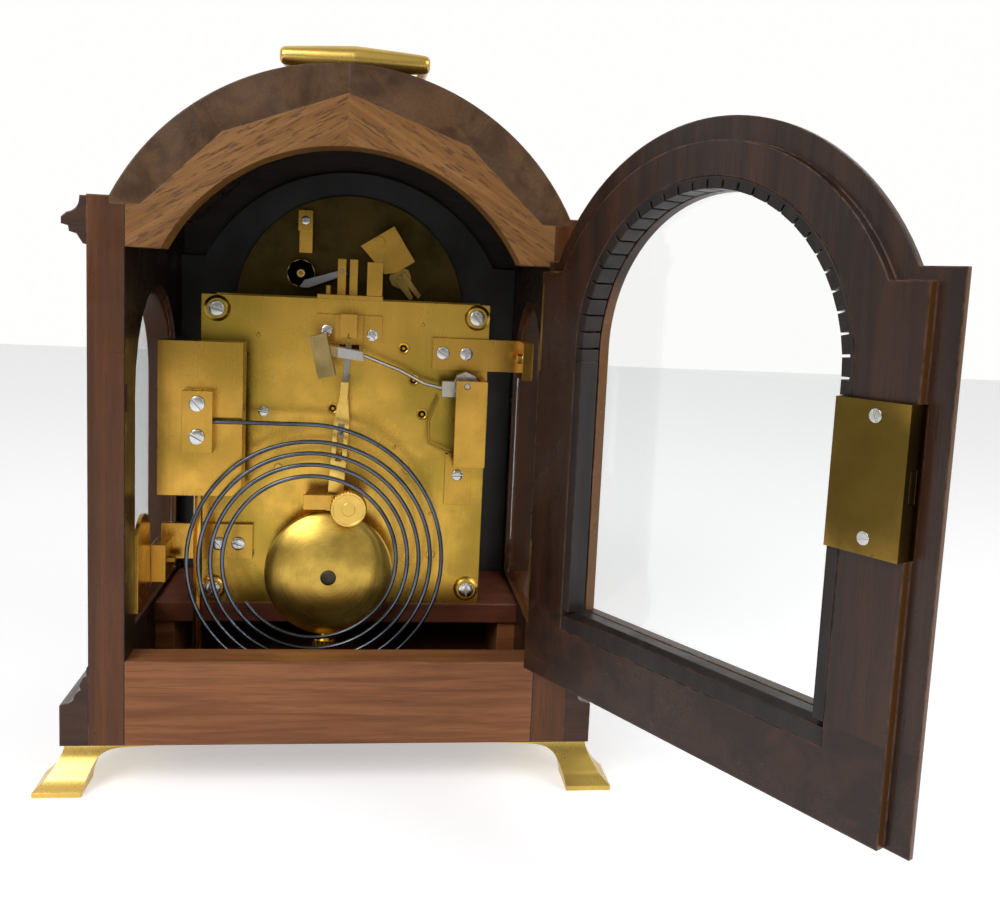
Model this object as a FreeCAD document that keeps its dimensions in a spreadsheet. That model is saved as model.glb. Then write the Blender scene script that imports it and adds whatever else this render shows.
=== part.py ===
import FreeCAD, Part
import math
import os
import re

import Sketcher

# An arched-top bracket clock, seen from behind with its back door open.
# The clock stands on z = 0.  +Z is up, the dial faces -Y, the back faces +Y,
# and +X is to the right of someone who reads the dial.  Lengths are in mm.

doc = FreeCAD.newDocument("BracketClock")
dim = doc.addObject("Spreadsheet::Sheet", "Dim")

SIZES = {
    # The case, measured over the plain body and not over its mouldings.
    "case_half": 120.0, "case_back": 84.0, "foot_top": 25.5,
    "board": 10.0, "rail_top": 69.2,
    "opening_half": 102.6, "shoulder_z": 272.6, "arch_z": 227.8, "arch_r": 97.1,
    "frame_thick": 18.0, "frame_head_z": 292.7, "frame_head_half": 95.8,
    "roof_z": 240.2, "roof_r": 123.1, "roof_foot_z": 296.1, "roof_foot_half": 109.7,
    "stave_x": 58.5, "stave_z": 328.3, "stave_top_z": 349.7,
    # The mouldings, as distances out from the case side.
    "base_out": 13.8, "base_face": 21.0, "base_top": 40.5,
    "pad_out": 11.4, "pad_top": 295.4, "pad_bottom": 272.7,
    # The arched windows in the sides.
    "window_half": 50.0, "window_y": 7.1, "window_top": 249.6, "window_bottom": 85.5,
    "window_rebate": 5.0, "pane": 2.0,
    # The cast feet.
    "foot_plate": 44.0, "foot_flare": 12.5, "foot_sole": 23.5, "foot_inset": 9.0,
    "foot_lip": 2.6,
    # The carrying handle and its posts on the crown of the roof.
    "handle_x": -2.0, "handle_half": 34.0, "handle_reach": 55.0, "grip_r": 6.8,
    "grip_end_r": 3.6, "post_base_r": 7.0, "handle_pin_r": 1.6, "handle_pin_z": 370.6,
    # The doors.  Both are the same overlay pattern: a thick inner part that fills the
    # opening, and a lip round the free edge and the arch that laps the case.  The lip's
    # edge is thin, and steps in behind.
    "hinge_x": -102.2, "hinge_y": 87.98, "door_open": 119.94,
    "door_in": 4.1, "door_out": 13.3, "door_seat": 0.3, "door_left": 1.1, "door_right": 204.0,
    "door_bottom": 69.6, "door_shoulder": 270.0, "door_arch_r": 96.1,
    "lip_right": 214.0, "lip_shoulder": 275.1, "lip_arch_r": 106.0, "lip_edge": 2.4, "lip_step": 7.3,
    "glass_back": 6.0, "glass_thick": 2.0, "bead_fit": 0.2,
    "back_light_x": 0.8, "back_rebate_half": 75.0, "back_sight_half": 70.0,
    "back_rebate_low": 98.0, "back_sight_low": 107.5, "back_light_z": 234.8,
    "front_light_x": 0.0, "front_rebate_half": 82.5, "front_sight_half": 78.0,
    "front_rebate_low": 81.5, "front_sight_low": 86.0, "front_light_z": 227.8,
    "kerf": 1.0, "kerf_share": 0.7, "bead_tail": 6.0, "bead_blocks": 28,
    # Butt hinges and the lock.
    "knuckle_r": 3.5, "knuckle_gap": 0.4, "hinge_long": 42.0, "hinge_pin_r": 1.3,
    "leaf": 1.4, "leaf_wide": 13.0, "hinge_low": 94.0, "hinge_high": 222.0,
    "lock_left": 174.4, "lock_right": 203.9, "lock_low": 174.4, "lock_high": 228.7,
    "lock_face": 8.2, "lock_wall": 1.6, "lock_edge": 1.5, "bolt_low": 194.6, "bolt_high": 206.0,
    "bolt_thick": 3.4, "bolt_throw": 6.0, "bolt_mid": 3.2,
    # The movement: two plates on four pillars, standing on the seat board.
    "plate_left": 78.6, "plate_right": -79.5, "plate_low": 78.0, "plate_high": 250.9,
    "plate_thick": 3.0, "back_plate_y": 13.8, "front_plate_y": -41.0,
    "pillar_r": 4.2, "pillar_end_r": 2.5, "washer_r": 7.2,
    "seat_top": 78.0, "seat_thick": 11.0, "seat_back": 15.0, "seat_front": -56.0,
    "seat_rail": 10.5,
    # The dial, and the black mask that it rests behind.
    "dial_half": 80.0, "dial_low": 83.0, "dial_back": -57.0, "dial_thick": 2.6,
    "dial_mid_z": 163.0, "dial_arch_z": 243.0, "dial_arch_r": 69.8,
    "mask_half": 76.5, "mask_low": 86.5, "mask_arch_r": 66.3, "mask_thick": 6.4,
    "chapter_r": 73.0, "chapter_in": 52.0, "ring_thick": 1.0, "arch_ring_r": 20.5,
    "arch_ring_x": 30.0, "arch_ring_z": 264.5,
    # The going train.
    "fusee_x": 36.0, "fusee_z": 156.0, "barrel_x": 51.0, "barrel_z": 107.0, "barrel_r": 21.0,
    "third_x": 6.5, "third_z": 190.0, "escape_x": -1.5, "escape_z": 208.9,
    "pallet_z": 230.5, "escape_r": 14.0,
    # The striking train.
    "pin_x": -43.4, "pin_z": 188.2, "warn_x": -38.1, "warn_z": 207.5,
    "fly_x": -31.8, "fly_z": 225.0, "minute_z": 143.0, "arbor_r": 1.1, "pivot_r": 0.8,
    "crutch_drop": 53.9, "crutch_low": 223.5, "crutch_top": 236.5, "hand_y": -62.0,
    "cock_thick": 3.0, "lever_x": 4.2, "lever_z": 266.6,
    # The pendulum, at the end of its swing.
    "swing": 3.2, "bob_drop": 131.2, "bob_r": 35.4, "bob_thick": 20.0, "bob_y": 28.0,
    "rod_wide": 8.6, "nut_r": 6.3,
    # The gong: a flat spiral of round wire with a straight lead from its clamp.
    "gong_y": 43.0, "gong_mid_z": 111.4, "gong_right": -55.4, "gong_first": 73.3,
    "gong_r": 68.72, "gong_step": 1.55, "gong_wire": 2.3, "gong_side": 2.04, "gong_lead_x": 72.0,
    "gong_tail": 58.0,
    "block_left": 96.5, "block_right": 52.8, "block_low": 144.1, "block_high": 226.4,
    "block_front": 24.0, "block_back": 39.0, "clamp_x": 75.0, "clamp_wide": 15.6,
    "clamp_low": 168.4, "clamp_high": 201.0, "clamp_back": 47.0, "gong_post_x": 76.0,
    "gong_post_r": 2.35,
    # The hammer.
    "hammer_x": -66.0, "hammer_z": 207.5, "hammer_hub_r": 7.0, "head_x": 11.4,
    "head_z": 221.6, "head_tilt": 14.0, "head_wide": 9.2, "head_tall": 22.5, "head_deep": 11.0,
    # The holdfast that pins the rod for carrying.
    "knob_x": -4.3, "knob_z": 139.2, "knob_r": 9.9, "knob_front": 34.5, "knob_back": 45.0,
}

for line, (alias, value) in enumerate(SIZES.items(), 1):
    dim.set("A%d" % line, alias)
    dim.set("B%d" % line, str(value))
    dim.setAlias("B%d" % line, alias)
doc.recompute()

nodes = {}


def ref(text):
    """An expression in the sheet's aliases, as the document's objects read it."""
    def named(word):
        return "Dim." + word.group() if word.group() in SIZES else word.group()
    return re.sub(r"[A-Za-z_][A-Za-z_0-9]*", named, str(text))


def at(text):
    """The value of an expression in the sheet's aliases."""
    return float(dim.evalExpression(ref(text)))


def vec(x=0.0, y=0.0, z=0.0):
    return FreeCAD.Vector(at(x), at(y), at(z))


FRONT, FRONT_OUT = at("front_plate_y"), at("front_plate_y - plate_thick")
BACK, BACK_OUT = at("back_plate_y - plate_thick"), at("back_plate_y")


# ---------------------------------------------------------------- sketched pieces

PLANE_SIGN = {"XY": 1, "YZ": 1, "XZ": -1}


def pin_point(sketch, edge, end, u, v):
    """Bind one end of an edge to its place on the sketch."""
    for kind, text in (("DistanceX", u), ("DistanceY", v)):
        rule = sketch.addConstraint(Sketcher.Constraint(kind, -1, 1, edge, end, at(text)))
        sketch.setExpression("Constraints[%d]" % rule, ref(text))


def trace(sketch, outline):
    """Draw a closed outline.  A corner is (u, v); a corner (u, v, cu, cv, turn) is reached
    by an arc about (cu, cv), turn 1 for counter-clockwise and -1 for clockwise.
    ("circle", u, v, r) is a whole circle."""
    if outline[0] == "circle":
        _, u, v, radius = outline
        mid = FreeCAD.Vector(at(u), at(v), 0)
        ring = sketch.addGeometry(Part.Circle(mid, FreeCAD.Vector(0, 0, 1), at(radius)))
        pin_point(sketch, ring, 3, u, v)
        rule = sketch.addConstraint(Sketcher.Constraint("Radius", ring, at(radius)))
        sketch.setExpression("Constraints[%d]" % rule, ref(radius))
        return
    ends = []
    for k, corner in enumerate(outline):
        start = FreeCAD.Vector(at(outline[k - 1][0]), at(outline[k - 1][1]), 0)
        stop = FreeCAD.Vector(at(corner[0]), at(corner[1]), 0)
        if len(corner) == 2:
            edge = sketch.addGeometry(Part.LineSegment(start, stop))
            ends.append((edge, 1, 2))
            continue
        mid = FreeCAD.Vector(at(corner[2]), at(corner[3]), 0)
        chord = (start + stop) * 0.5 - mid
        side = FreeCAD.Vector(stop.y - start.y, start.x - stop.x, 0) * corner[4]
        if chord.Length < 1e-6 or chord.dot(side) < 0:
            chord = side
        crown = mid + chord.normalize() * (start - mid).Length
        first, last = (1, 2) if corner[4] > 0 else (2, 1)
        arc = Part.Arc(start, crown, stop) if first == 1 else Part.Arc(stop, crown, start)
        edge = sketch.addGeometry(arc)
        ends.append((edge, first, last))
        across = abs(stop.x - start.x) > abs(stop.y - start.y)
        kind, text = ("DistanceY", corner[3]) if across else ("DistanceX", corner[2])
        rule = sketch.addConstraint(Sketcher.Constraint(kind, -1, 1, edge, 3, at(text)))
        sketch.setExpression("Constraints[%d]" % rule, ref(text))
    for k, corner in enumerate(outline):
        edge, first, last = ends[k]
        before, _, before_last = ends[k - 1]
        sketch.addConstraint(Sketcher.Constraint("Coincident", before, before_last, edge, first))
        pin_point(sketch, edge, last, corner[0], corner[1])


def sketch_on(body, plane, level, outlines):
    """A sketch of the outlines on one of the body's own planes, raised to a level."""
    sketch = body.newObject("Sketcher::SketchObject", body.Name + "Sketch")
    support = [part for part in body.Origin.OriginFeatures if part.Role == plane + "_Plane"]
    sketch.AttachmentSupport = [(support[0], "")]
    sketch.MapMode = "FlatFace"
    sign = "" if PLANE_SIGN[plane] > 0 else "-"
    sketch.setExpression(".AttachmentOffset.Base.z", ref("%s(%s)" % (sign, level)))
    for outline in outlines:
        trace(sketch, outline)
    return sketch


def pad(body, plane, low, high, *outlines):
    """Add the outlines to the body as a pad from one level to another."""
    level = low if PLANE_SIGN[plane] > 0 else high
    feature = body.newObject("PartDesign::Pad", body.Name + "Pad")
    feature.Profile = sketch_on(body, plane, level, outlines)
    feature.setExpression("Length", ref("(%s) - (%s)" % (high, low)))
    body.Tip = feature
    return feature


def pocket(body, plane, low, high, *outlines):
    """Cut the outlines out of the body from one level to another."""
    level = high if PLANE_SIGN[plane] > 0 else low
    feature = body.newObject("PartDesign::Pocket", body.Name + "Pocket")
    feature.Profile = sketch_on(body, plane, level, outlines)
    feature.setExpression("Length", ref("(%s) - (%s)" % (high, low)))
    body.Tip = feature
    return feature


def new_body(name):
    return doc.addObject("PartDesign::Body", name)


def slab(name, plane, low, high, *outlines):
    body = new_body(name)
    pad(body, plane, low, high, *outlines)
    return body


def ring_of(radius, height, sides):
    """Corners evenly spaced on a circle about the Z axis."""
    return [FreeCAD.Vector(radius * math.cos(2 * math.pi * k / sides),
                           radius * math.sin(2 * math.pi * k / sides), height)
            for k in range(sides)]


def flat(corners):
    return Part.Face(Part.makePolygon([*corners, corners[0]]))


def turned(name, profile, sides=8):
    """A piece turned on its own Z axis from corners (radius, height), in flats."""
    rings = [ring_of(at(radius), at(height), sides) for radius, height in profile]
    faces = [flat(rings[0]), flat(rings[-1])]
    for low, high in zip(rings, rings[1:]):
        for k in range(sides):
            faces.append(flat([low[k - 1], low[k], high[k], high[k - 1]]))
    return formed(name, Part.Solid(Part.Shell(faces)))


def box(u0, v0, u1, v1):
    """The outline of a rectangle."""
    return [(u0, v0), (u1, v0), (u1, v1), (u0, v1)]


# ---------------------------------------------------------------- assembled pieces

TURN = {
    "Z": FreeCAD.Rotation(),
    "Y": FreeCAD.Rotation(FreeCAD.Vector(1, 0, 0), -90),
    "-Y": FreeCAD.Rotation(FreeCAD.Vector(1, 0, 0), 90),
    "X": FreeCAD.Rotation(FreeCAD.Vector(0, 1, 0), 90),
}


def place(piece, x, y, z, axis="Z"):
    piece.Placement = FreeCAD.Placement(vec(x, y, z), TURN[axis])
    return piece


def rod(name, x, y, z, radius, length, axis="Z", sides=8):
    """A round bar from a point along an axis, in flats whose corners lie on the circle."""
    piece = doc.addObject("Part::Prism", name)
    piece.Polygon = sides
    piece.setExpression("Circumradius", ref(radius))
    piece.setExpression("Height", ref(length))
    return place(piece, x, y, z, axis)


def bore(name, x, y, z, radius, length, axis="Z"):
    """The tool for a hole in which a rod of this radius turns freely."""
    return rod(name, x, y, z, "(%s) * 1.083 + 0.05" % radius, length, axis)


def block(name, x0, y0, z0, x1, y1, z1):
    """A plain block between two corners."""
    piece = doc.addObject("Part::Box", name)
    piece.setExpression("Length", ref("(%s) - (%s)" % (x1, x0)))
    piece.setExpression("Width", ref("(%s) - (%s)" % (y1, y0)))
    piece.setExpression("Height", ref("(%s) - (%s)" % (z1, z0)))
    return place(piece, x0, y0, z0)


def fuse(name, *pieces):
    piece = doc.addObject("Part::MultiFuse", name)
    piece.Shapes = list(pieces)
    return piece


def group(name, *pieces):
    """Like pieces that stay separate solids."""
    piece = doc.addObject("Part::Compound", name)
    piece.Links = list(pieces)
    return piece


def cut(name, base, *tools):
    piece = doc.addObject("Part::Cut", name)
    piece.Base = base
    piece.Tool = tools[0] if len(tools) == 1 else fuse(name + "Tools", *tools)
    return piece


def mirrored(name, source, normal):
    piece = doc.addObject("Part::Mirroring", name)
    piece.Source = source
    piece.Normal = FreeCAD.Vector(*normal)
    return piece


def formed(name, shape):
    """A piece whose form comes from a formula."""
    piece = doc.addObject("Part::Feature", name)
    piece.Shape = shape
    return piece


def node(name, piece):
    piece.Label = name
    nodes[name] = piece
    return piece


# ---------------------------------------------------------------- the case

def round_top(half, low, mid_z, mid_u):
    """Straight sides that run into a half circle."""
    left = "(%s) - (%s)" % (mid_u, half)
    right = "(%s) + (%s)" % (mid_u, half)
    return [(left, low), (right, low), (right, mid_z), (left, mid_z, mid_u, mid_z, 1)]


ARCH_STEPS = 12


def straight_top(half, low, mid_z, mid_u):
    """The same outline with its arch in straight steps, for glass that a rebate holds."""
    corners = [("(%s) - (%s)" % (mid_u, half), low), ("(%s) + (%s)" % (mid_u, half), low)]
    for k in range(ARCH_STEPS + 1):
        turn = math.pi * k / ARCH_STEPS
        corners.append(("(%s) + (%s) * %.5f" % (mid_u, half, math.cos(turn)),
                        "(%s) + (%s) * %.5f" % (mid_z, half, math.sin(turn))))
    return corners


def side_panel(side):
    """A solid side with a round-topped window, rebated inside for its pane, and with the
    mortise that the door's bolt enters on the lock side."""
    body = new_body("SidePanel" + side)
    pad(body, "XZ", "-case_back", "case_back", [
        ("opening_half", "foot_top"), ("case_half", "foot_top"), ("case_half", "roof_foot_z"),
        ("roof_foot_half", "roof_foot_z"), ("roof_foot_half", "frame_head_z"),
        ("opening_half", "frame_head_z")])
    mid = "window_top - window_half"
    pocket(body, "YZ", "opening_half", "case_half",
           round_top("window_half", "window_bottom", mid, "window_y"))
    pocket(body, "YZ", "opening_half", "opening_half + window_rebate",
           straight_top("window_half + window_rebate", "window_bottom - window_rebate", mid,
                        "window_y"))
    jamb = ("-case_back", "-case_back + leaf_wide + 0.1")
    if side == "Right":
        jamb = ("case_back - leaf_wide - 0.1", "case_back")
    for low in ("hinge_low", "hinge_high"):
        pocket(body, "YZ", "opening_half", "opening_half + leaf + 0.05",
               box(jamb[0], low, jamb[1], low + " + hinge_long"))
    if side == "Right":
        return mirrored("SidePanelMirror", body, (1, 0, 0))
    keep = "case_back + door_seat - bolt_mid"
    pocket(body, "YZ", "opening_half", "opening_half + bolt_throw + 1",
           box(keep + " - bolt_thick / 2 - 0.6", "bolt_low - 1",
               keep + " + bolt_thick / 2 + 0.6", "bolt_high + 1"))
    return body


def roof_staves():
    """Four staves, flat inside and rounded outside, that run from front to back."""
    inner = [("frame_head_half", "frame_head_z"), ("stave_x", "stave_z"), ("0", "stave_top_z")]

    def on_roof(corner):
        x, z = corner
        reach = "sqrt((%s)^2 + ((%s) - roof_z)^2)" % (x, z)
        return ("roof_r * (%s) / (%s)" % (x, reach),
                "roof_z + roof_r * ((%s) - roof_z) / (%s)" % (z, reach))
    low = slab("StaveLow", "XZ", "-case_back", "case_back", [
        inner[0], ("roof_foot_half", "frame_head_z"), ("roof_foot_half", "roof_foot_z"),
        (*on_roof(inner[1]), "0", "roof_z", 1), inner[1]])
    high = slab("StaveHigh", "XZ", "-case_back", "case_back", [
        inner[1], on_roof(inner[1]), (*on_roof(inner[2]), "0", "roof_z", 1), inner[2]])
    return group("RoofStaves", low, high, mirrored("StaveLowMirror", low, (1, 0, 0)),
                 mirrored("StaveHighMirror", high, (1, 0, 0)))


def arch_frame(name, low, high):
    """The frame that fills the roof end, cut to the door's arch below and to the staves."""
    foot = "sqrt(arch_r^2 - (shoulder_z - arch_z)^2)"
    outline = [
        ("opening_half", "shoulder_z"), ("opening_half", "frame_head_z"),
        ("frame_head_half", "frame_head_z"), ("stave_x", "stave_z"), ("0", "stave_top_z"),
        ("-stave_x", "stave_z"), ("-frame_head_half", "frame_head_z"),
        ("-opening_half", "frame_head_z"), ("-opening_half", "shoulder_z"),
        ("-(%s)" % foot, "shoulder_z"), (foot, "shoulder_z", "0", "arch_z", -1)]
    return slab(name, "XZ", low, high, outline)


def carcass_boards():
    """The floor, the bottom rails at back and front, and the rails under the seat board."""
    floor = block("Floor", "-opening_half", "-case_back + frame_thick", "foot_top",
                  "opening_half", "case_back - frame_thick", "foot_top + board")
    rails = [block("RailBack", "-opening_half", "case_back - frame_thick", "foot_top",
                   "opening_half", "case_back", "rail_top"),
             block("RailFront", "-opening_half", "-case_back", "foot_top",
                   "opening_half", "-case_back + frame_thick", "rail_top")]
    under = "seat_top - seat_thick"
    rails.append(block("SeatRailLeft", "opening_half - seat_rail", "seat_front",
                       "foot_top + board", "opening_half", "seat_back - 3", under))
    rails.append(block("SeatRailRight", "-opening_half", "seat_front",
                       "foot_top + board", "-opening_half + seat_rail", "seat_back - 3", under))
    return group("CarcassBoards", floor, *rails)


def base_profile(out, hand):
    """The base moulding's section: a plain face, an ogee, a bead and a fillet.  out(d) is
    the sketch's place for a distance d out from the case, and hand is its sense."""
    z = "foot_top + "
    return [
        (out("0"), "foot_top"), (out("base_out"), "foot_top"),
        (out("base_out"), z + "base_face"), (out("base_out - 2.6"), z + "base_face + 0.8"),
        (out("7.2"), z + "23.6", out("11.2"), z + "28.2", -hand),
        (out("3.5"), z + "29.0", out("1.2"), z + "24.2", hand),
        (out("4.2"), z + "31.4"), (out("3.4"), z + "33.2"), (out("2.4"), z + "35.2"),
        (out("0.8"), z + "36.2"), (out("0.8"), z + "base_top"), (out("0"), z + "base_top")]


def pad_profile(out, hand):
    """The shoulder moulding's section: a cove below a square nose, and a cove above it."""
    z = "pad_bottom + "
    return [
        (out("0"), "pad_bottom"), (out("1.6"), z + "0.4"),
        (out("4.4"), z + "4.8"),
        (out("7.8"), z + "5.8"), (out("8.2"), z + "8.4"), (out("pad_out"), z + "9.2"),
        (out("pad_out"), z + "12.4"), (out("8.6"), z + "14.8"),
        (out("3.2"), z + "20.6", out("9.4"), z + "20.9", -hand),
        (out("3.0"), "pad_top"), (out("0"), "pad_top")]


def mitre_cut(name, low, high):
    """The wedge beyond the 45 degree mitre at the front right corner of the case."""
    reach = "40"
    return slab(name, "XY", low, high, [
        ("case_half", "-case_back"), ("case_half + " + reach, "-case_back - " + reach),
        ("case_half - " + reach, "-case_back - " + reach), ("case_half - " + reach, "-case_back")])


def mouldings():
    """Base and shoulder mouldings: a length on each side, mitred to the one across the
    front.  At the shoulders the front lengths stop beside the door."""
    pieces = []
    for name, section, low, high, inner in (
            ("Base", base_profile, "foot_top - 1", "foot_top + base_top + 1", "0"),
            ("Pad", pad_profile, "pad_bottom - 1", "pad_top + 1", "lip_right + hinge_x + 1")):
        side_run = slab(name + "SideRun", "XZ", "-case_back - 40", "case_back",
                        section(lambda d: "case_half + (%s)" % d, 1))
        side = cut(name + "Side", side_run, mitre_cut(name + "SideMitre", low, high))
        front_run = slab(name + "FrontRun", "YZ", inner, "case_half + 40",
                         section(lambda d: "-case_back - (%s)" % d, -1))
        corner = slab(name + "FrontMitre", "XY", low, high, [
            ("case_half", "-case_back"), ("case_half + 40", "-case_back - 40"),
            ("case_half + 80", "-case_back - 40"), ("case_half + 80", "-case_back"),
            ("case_half + 80", "-case_back + 1"), ("case_half", "-case_back + 1")])
        front = cut(name + "Front", front_run, corner)
        if name == "Base":
            whole = fuse("BaseFrontWhole", front, mirrored("BaseFrontMirror", front, (1, 0, 0)))
            pieces += [side, mirrored("BaseSideMirror", side, (1, 0, 0)), whole]
        else:
            pieces += [side, mirrored("PadSideMirror", side, (1, 0, 0)),
                       front, mirrored("PadFrontMirror", front, (1, 0, 0))]
    return group("Mouldings", *pieces)


def window_panes():
    """A pane in each side, in the rebate and held from inside."""
    pane = slab("SidePane", "YZ", "opening_half + window_rebate - pane - 0.2",
                "opening_half + window_rebate - 0.2",
                straight_top("window_half + window_rebate - 0.5",
                          "window_bottom - window_rebate + 0.5",
                          "window_top - window_half", "window_y"))
    return group("SidePanes", pane, mirrored("SidePaneMirror", pane, (1, 0, 0)))


def foot():
    """One cast foot: an ogee that flares to both outer sides and is hollowed behind."""
    top = "foot_top"

    def side_profile(edge):
        out = "(%s)" % edge
        return [
            (out + " - foot_plate", top + " - 4.2"), (out + " - 18", top + " - 5.4"),
            (out + " - 14.6", top + " - 13.6"),
            (out + " + foot_flare - foot_sole", "0"), (out + " + foot_flare", "0"),
            (out + " + foot_flare", "foot_lip"),
            (out + " + 5.6", "foot_lip + 7.4"), (out + " + 2.2", top + " - 9.5"),
            (out, top + " - 3.4"), (out, top), (out + " - foot_plate", top)]
    across = slab("FootAcross", "XZ", "0", "case_back + 30",
                  side_profile("case_half + base_out"))
    along = slab("FootAlong", "YZ", "0", "case_half + 60",
                 side_profile("case_back - foot_inset"))
    piece = doc.addObject("Part::MultiCommon", "FootBackLeft")
    piece.Shapes = [across, along]
    return piece


def feet():
    back_left = foot()
    back_right = mirrored("FootBackRight", back_left, (1, 0, 0))
    front = []
    for name, source in (("FootFrontLeft", back_left), ("FootFrontRight", back_right)):
        piece = mirrored(name, source, (0, 1, 0))
        piece.setExpression(".Base.y", ref("-base_out / 2"))
        front.append(piece)
    return group("Feet", back_left, back_right, *front)


def handle_posts():
    """Two turned posts let into the crown of the roof, drilled across for the handle."""
    posts = []
    for side, name in ((1, "Left"), (-1, "Right")):
        post = turned("Post" + name, [
            ("3", "-11"), ("3", "-2"), ("post_base_r", "-2"), ("post_base_r", "-0.6"),
            ("4.4", "1.6"), ("3.2", "4.4"), ("4.2", "7"), ("4.2", "11.4"), ("3", "13.2")], 10)
        x = "handle_x + %d * (handle_half - 8)" % side
        place(post, x, "0", "handle_pin_z - 9")
        hole = bore("PostBore" + name, x + " - 8", "0", "handle_pin_z", "handle_pin_r",
                    "16", "X")
        posts.append(cut("DrilledPost" + name, post, hole))
    return group("HandlePosts", *posts)


def roof_with_sockets(roof):
    """The roof, drilled for the posts' spigots."""
    holes = []
    for side, name in ((1, "Left"), (-1, "Right")):
        x = "handle_x + %d * (handle_half - 8)" % side
        holes.append(bore("PostSocket" + name, x, "0", "handle_pin_z - 21", "3", "20"))
        holes.append(bore("PostSeat" + name, x, "0", "handle_pin_z - 11", "post_base_r", "9"))
    return cut("RoofDrilled", roof, *holes)


def carrying_handle():
    """The cast grip, fattest at a ridge in its middle, with two arms and their pins."""
    end = "handle_half + 3.2"
    grip = turned("Grip", [
        ("2", "-(%s)" % end), ("grip_end_r", "-handle_half - 1"), ("grip_r - 0.4", "-1.6"),
        ("grip_r", "-0.7"), ("grip_r", "0.7"), ("grip_r - 0.4", "1.6"),
        ("grip_end_r", "handle_half + 1"), ("2", end)], 12)
    parts = [place(grip, "handle_x", "handle_reach", "handle_pin_z", "X")]
    for side, name in ((1, "Left"), (-1, "Right")):
        x = "handle_x + %d * handle_half" % side
        arm = turned("HandleArm" + name, [
            ("1.6", "-2.8"), ("2.9", "-1.4"), ("2.9", "1.4"), ("2.2", "3.6"),
            ("grip_end_r", "handle_reach - 2"), ("2", "handle_reach + 3")], 10)
        parts.append(place(arm, x, "0", "handle_pin_z", "Y"))
        start = x if side < 0 else x + " - 14"
        parts.append(rod("HandlePin" + name, start, "0", "handle_pin_z", "handle_pin_r",
                         "14", "X"))
    return fuse("CarryingHandle", *parts)


# ---------------------------------------------------------------- the doors

def swung(piece):
    """The back door's pieces are built closed and then swung out on their hinge pins."""
    pivot = vec("hinge_x", "hinge_y")
    turn = FreeCAD.Rotation(FreeCAD.Vector(0, 0, 1), at("door_open"))
    piece.Placement = FreeCAD.Placement(FreeCAD.Vector(), turn, pivot) * piece.Placement
    return piece


def faced_about(piece):
    """The front door's pieces are the back pattern turned half round."""
    turn = FreeCAD.Rotation(FreeCAD.Vector(0, 0, 1), 180)
    piece.Placement = FreeCAD.Placement(FreeCAD.Vector(), turn) * piece.Placement
    return piece


def light(kind, part, grow="0", shape=round_top):
    """The round-topped opening for a door's glass: its rebate or its sight edge."""
    low = "%s_%s_low - (%s)" % (kind, part, grow)
    return shape("%s_%s_half + (%s)" % (kind, part, grow), low, kind + "_light_z",
                 kind + "_light_x")


def door_outline(right, shoulder, radius):
    """A door's outline: square to its shoulders, with an arch between them."""
    left = "hinge_x + door_left"
    foot = "sqrt((%s)^2 - (%s - arch_z)^2)" % (radius, shoulder)
    return [(left, "door_bottom"), (right, "door_bottom"), (right, shoulder), (foot, shoulder),
            ("-" + foot, shoulder, "0", "arch_z", 1), (left, shoulder)]


def door_frame(name, kind):
    """Inner part, lapping lip, glazing rebate and sight opening, with the hinge mortises."""
    body = new_body(name)
    left, right = "hinge_x + door_left", "hinge_x + door_right"
    seat = "case_back + door_seat"
    inside, outside = seat + " - door_in", seat + " + door_out"
    pad(body, "XZ", inside, outside, door_outline(right, "door_shoulder", "door_arch_r"))
    for low, high, step in ((seat, seat + " + lip_edge", "0"),
                            (seat + " + lip_edge", outside, "lip_step")):
        pad(body, "XZ", low, high, door_outline(
            "hinge_x + lip_right - " + step, "lip_shoulder - " + step, "lip_arch_r - " + step))
    glass = "case_back + door_seat + glass_back"
    pocket(body, "XZ", inside, glass + " + glass_thick", light(kind, "rebate"))
    pocket(body, "XZ", inside, outside, light(kind, "sight"))
    recess = ["hinge_x", "case_back - 0.1", "hinge_x + knuckle_r + knuckle_gap",
              "hinge_y + knuckle_r + knuckle_gap"]
    for low in ("hinge_low", "hinge_high"):
        pocket(body, "XY", low + " - 0.3", low + " + hinge_long + 0.3", box(*recess))
        pocket(body, "XY", low, low + " + hinge_long",
               box("hinge_x", inside, left + " + leaf", "hinge_y"))
    if kind == "back":
        pocket(body, "XZ", inside, seat + " + lock_edge",
               box("hinge_x + lock_left", "lock_low", right + " + 1", "lock_high"))
    return body


def door_glass(name, kind):
    glass = "case_back + door_seat + glass_back"
    outline = light(kind, "rebate", "-0.4", straight_top)
    return slab(name, "XZ", glass, glass + " + glass_thick", outline)


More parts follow.
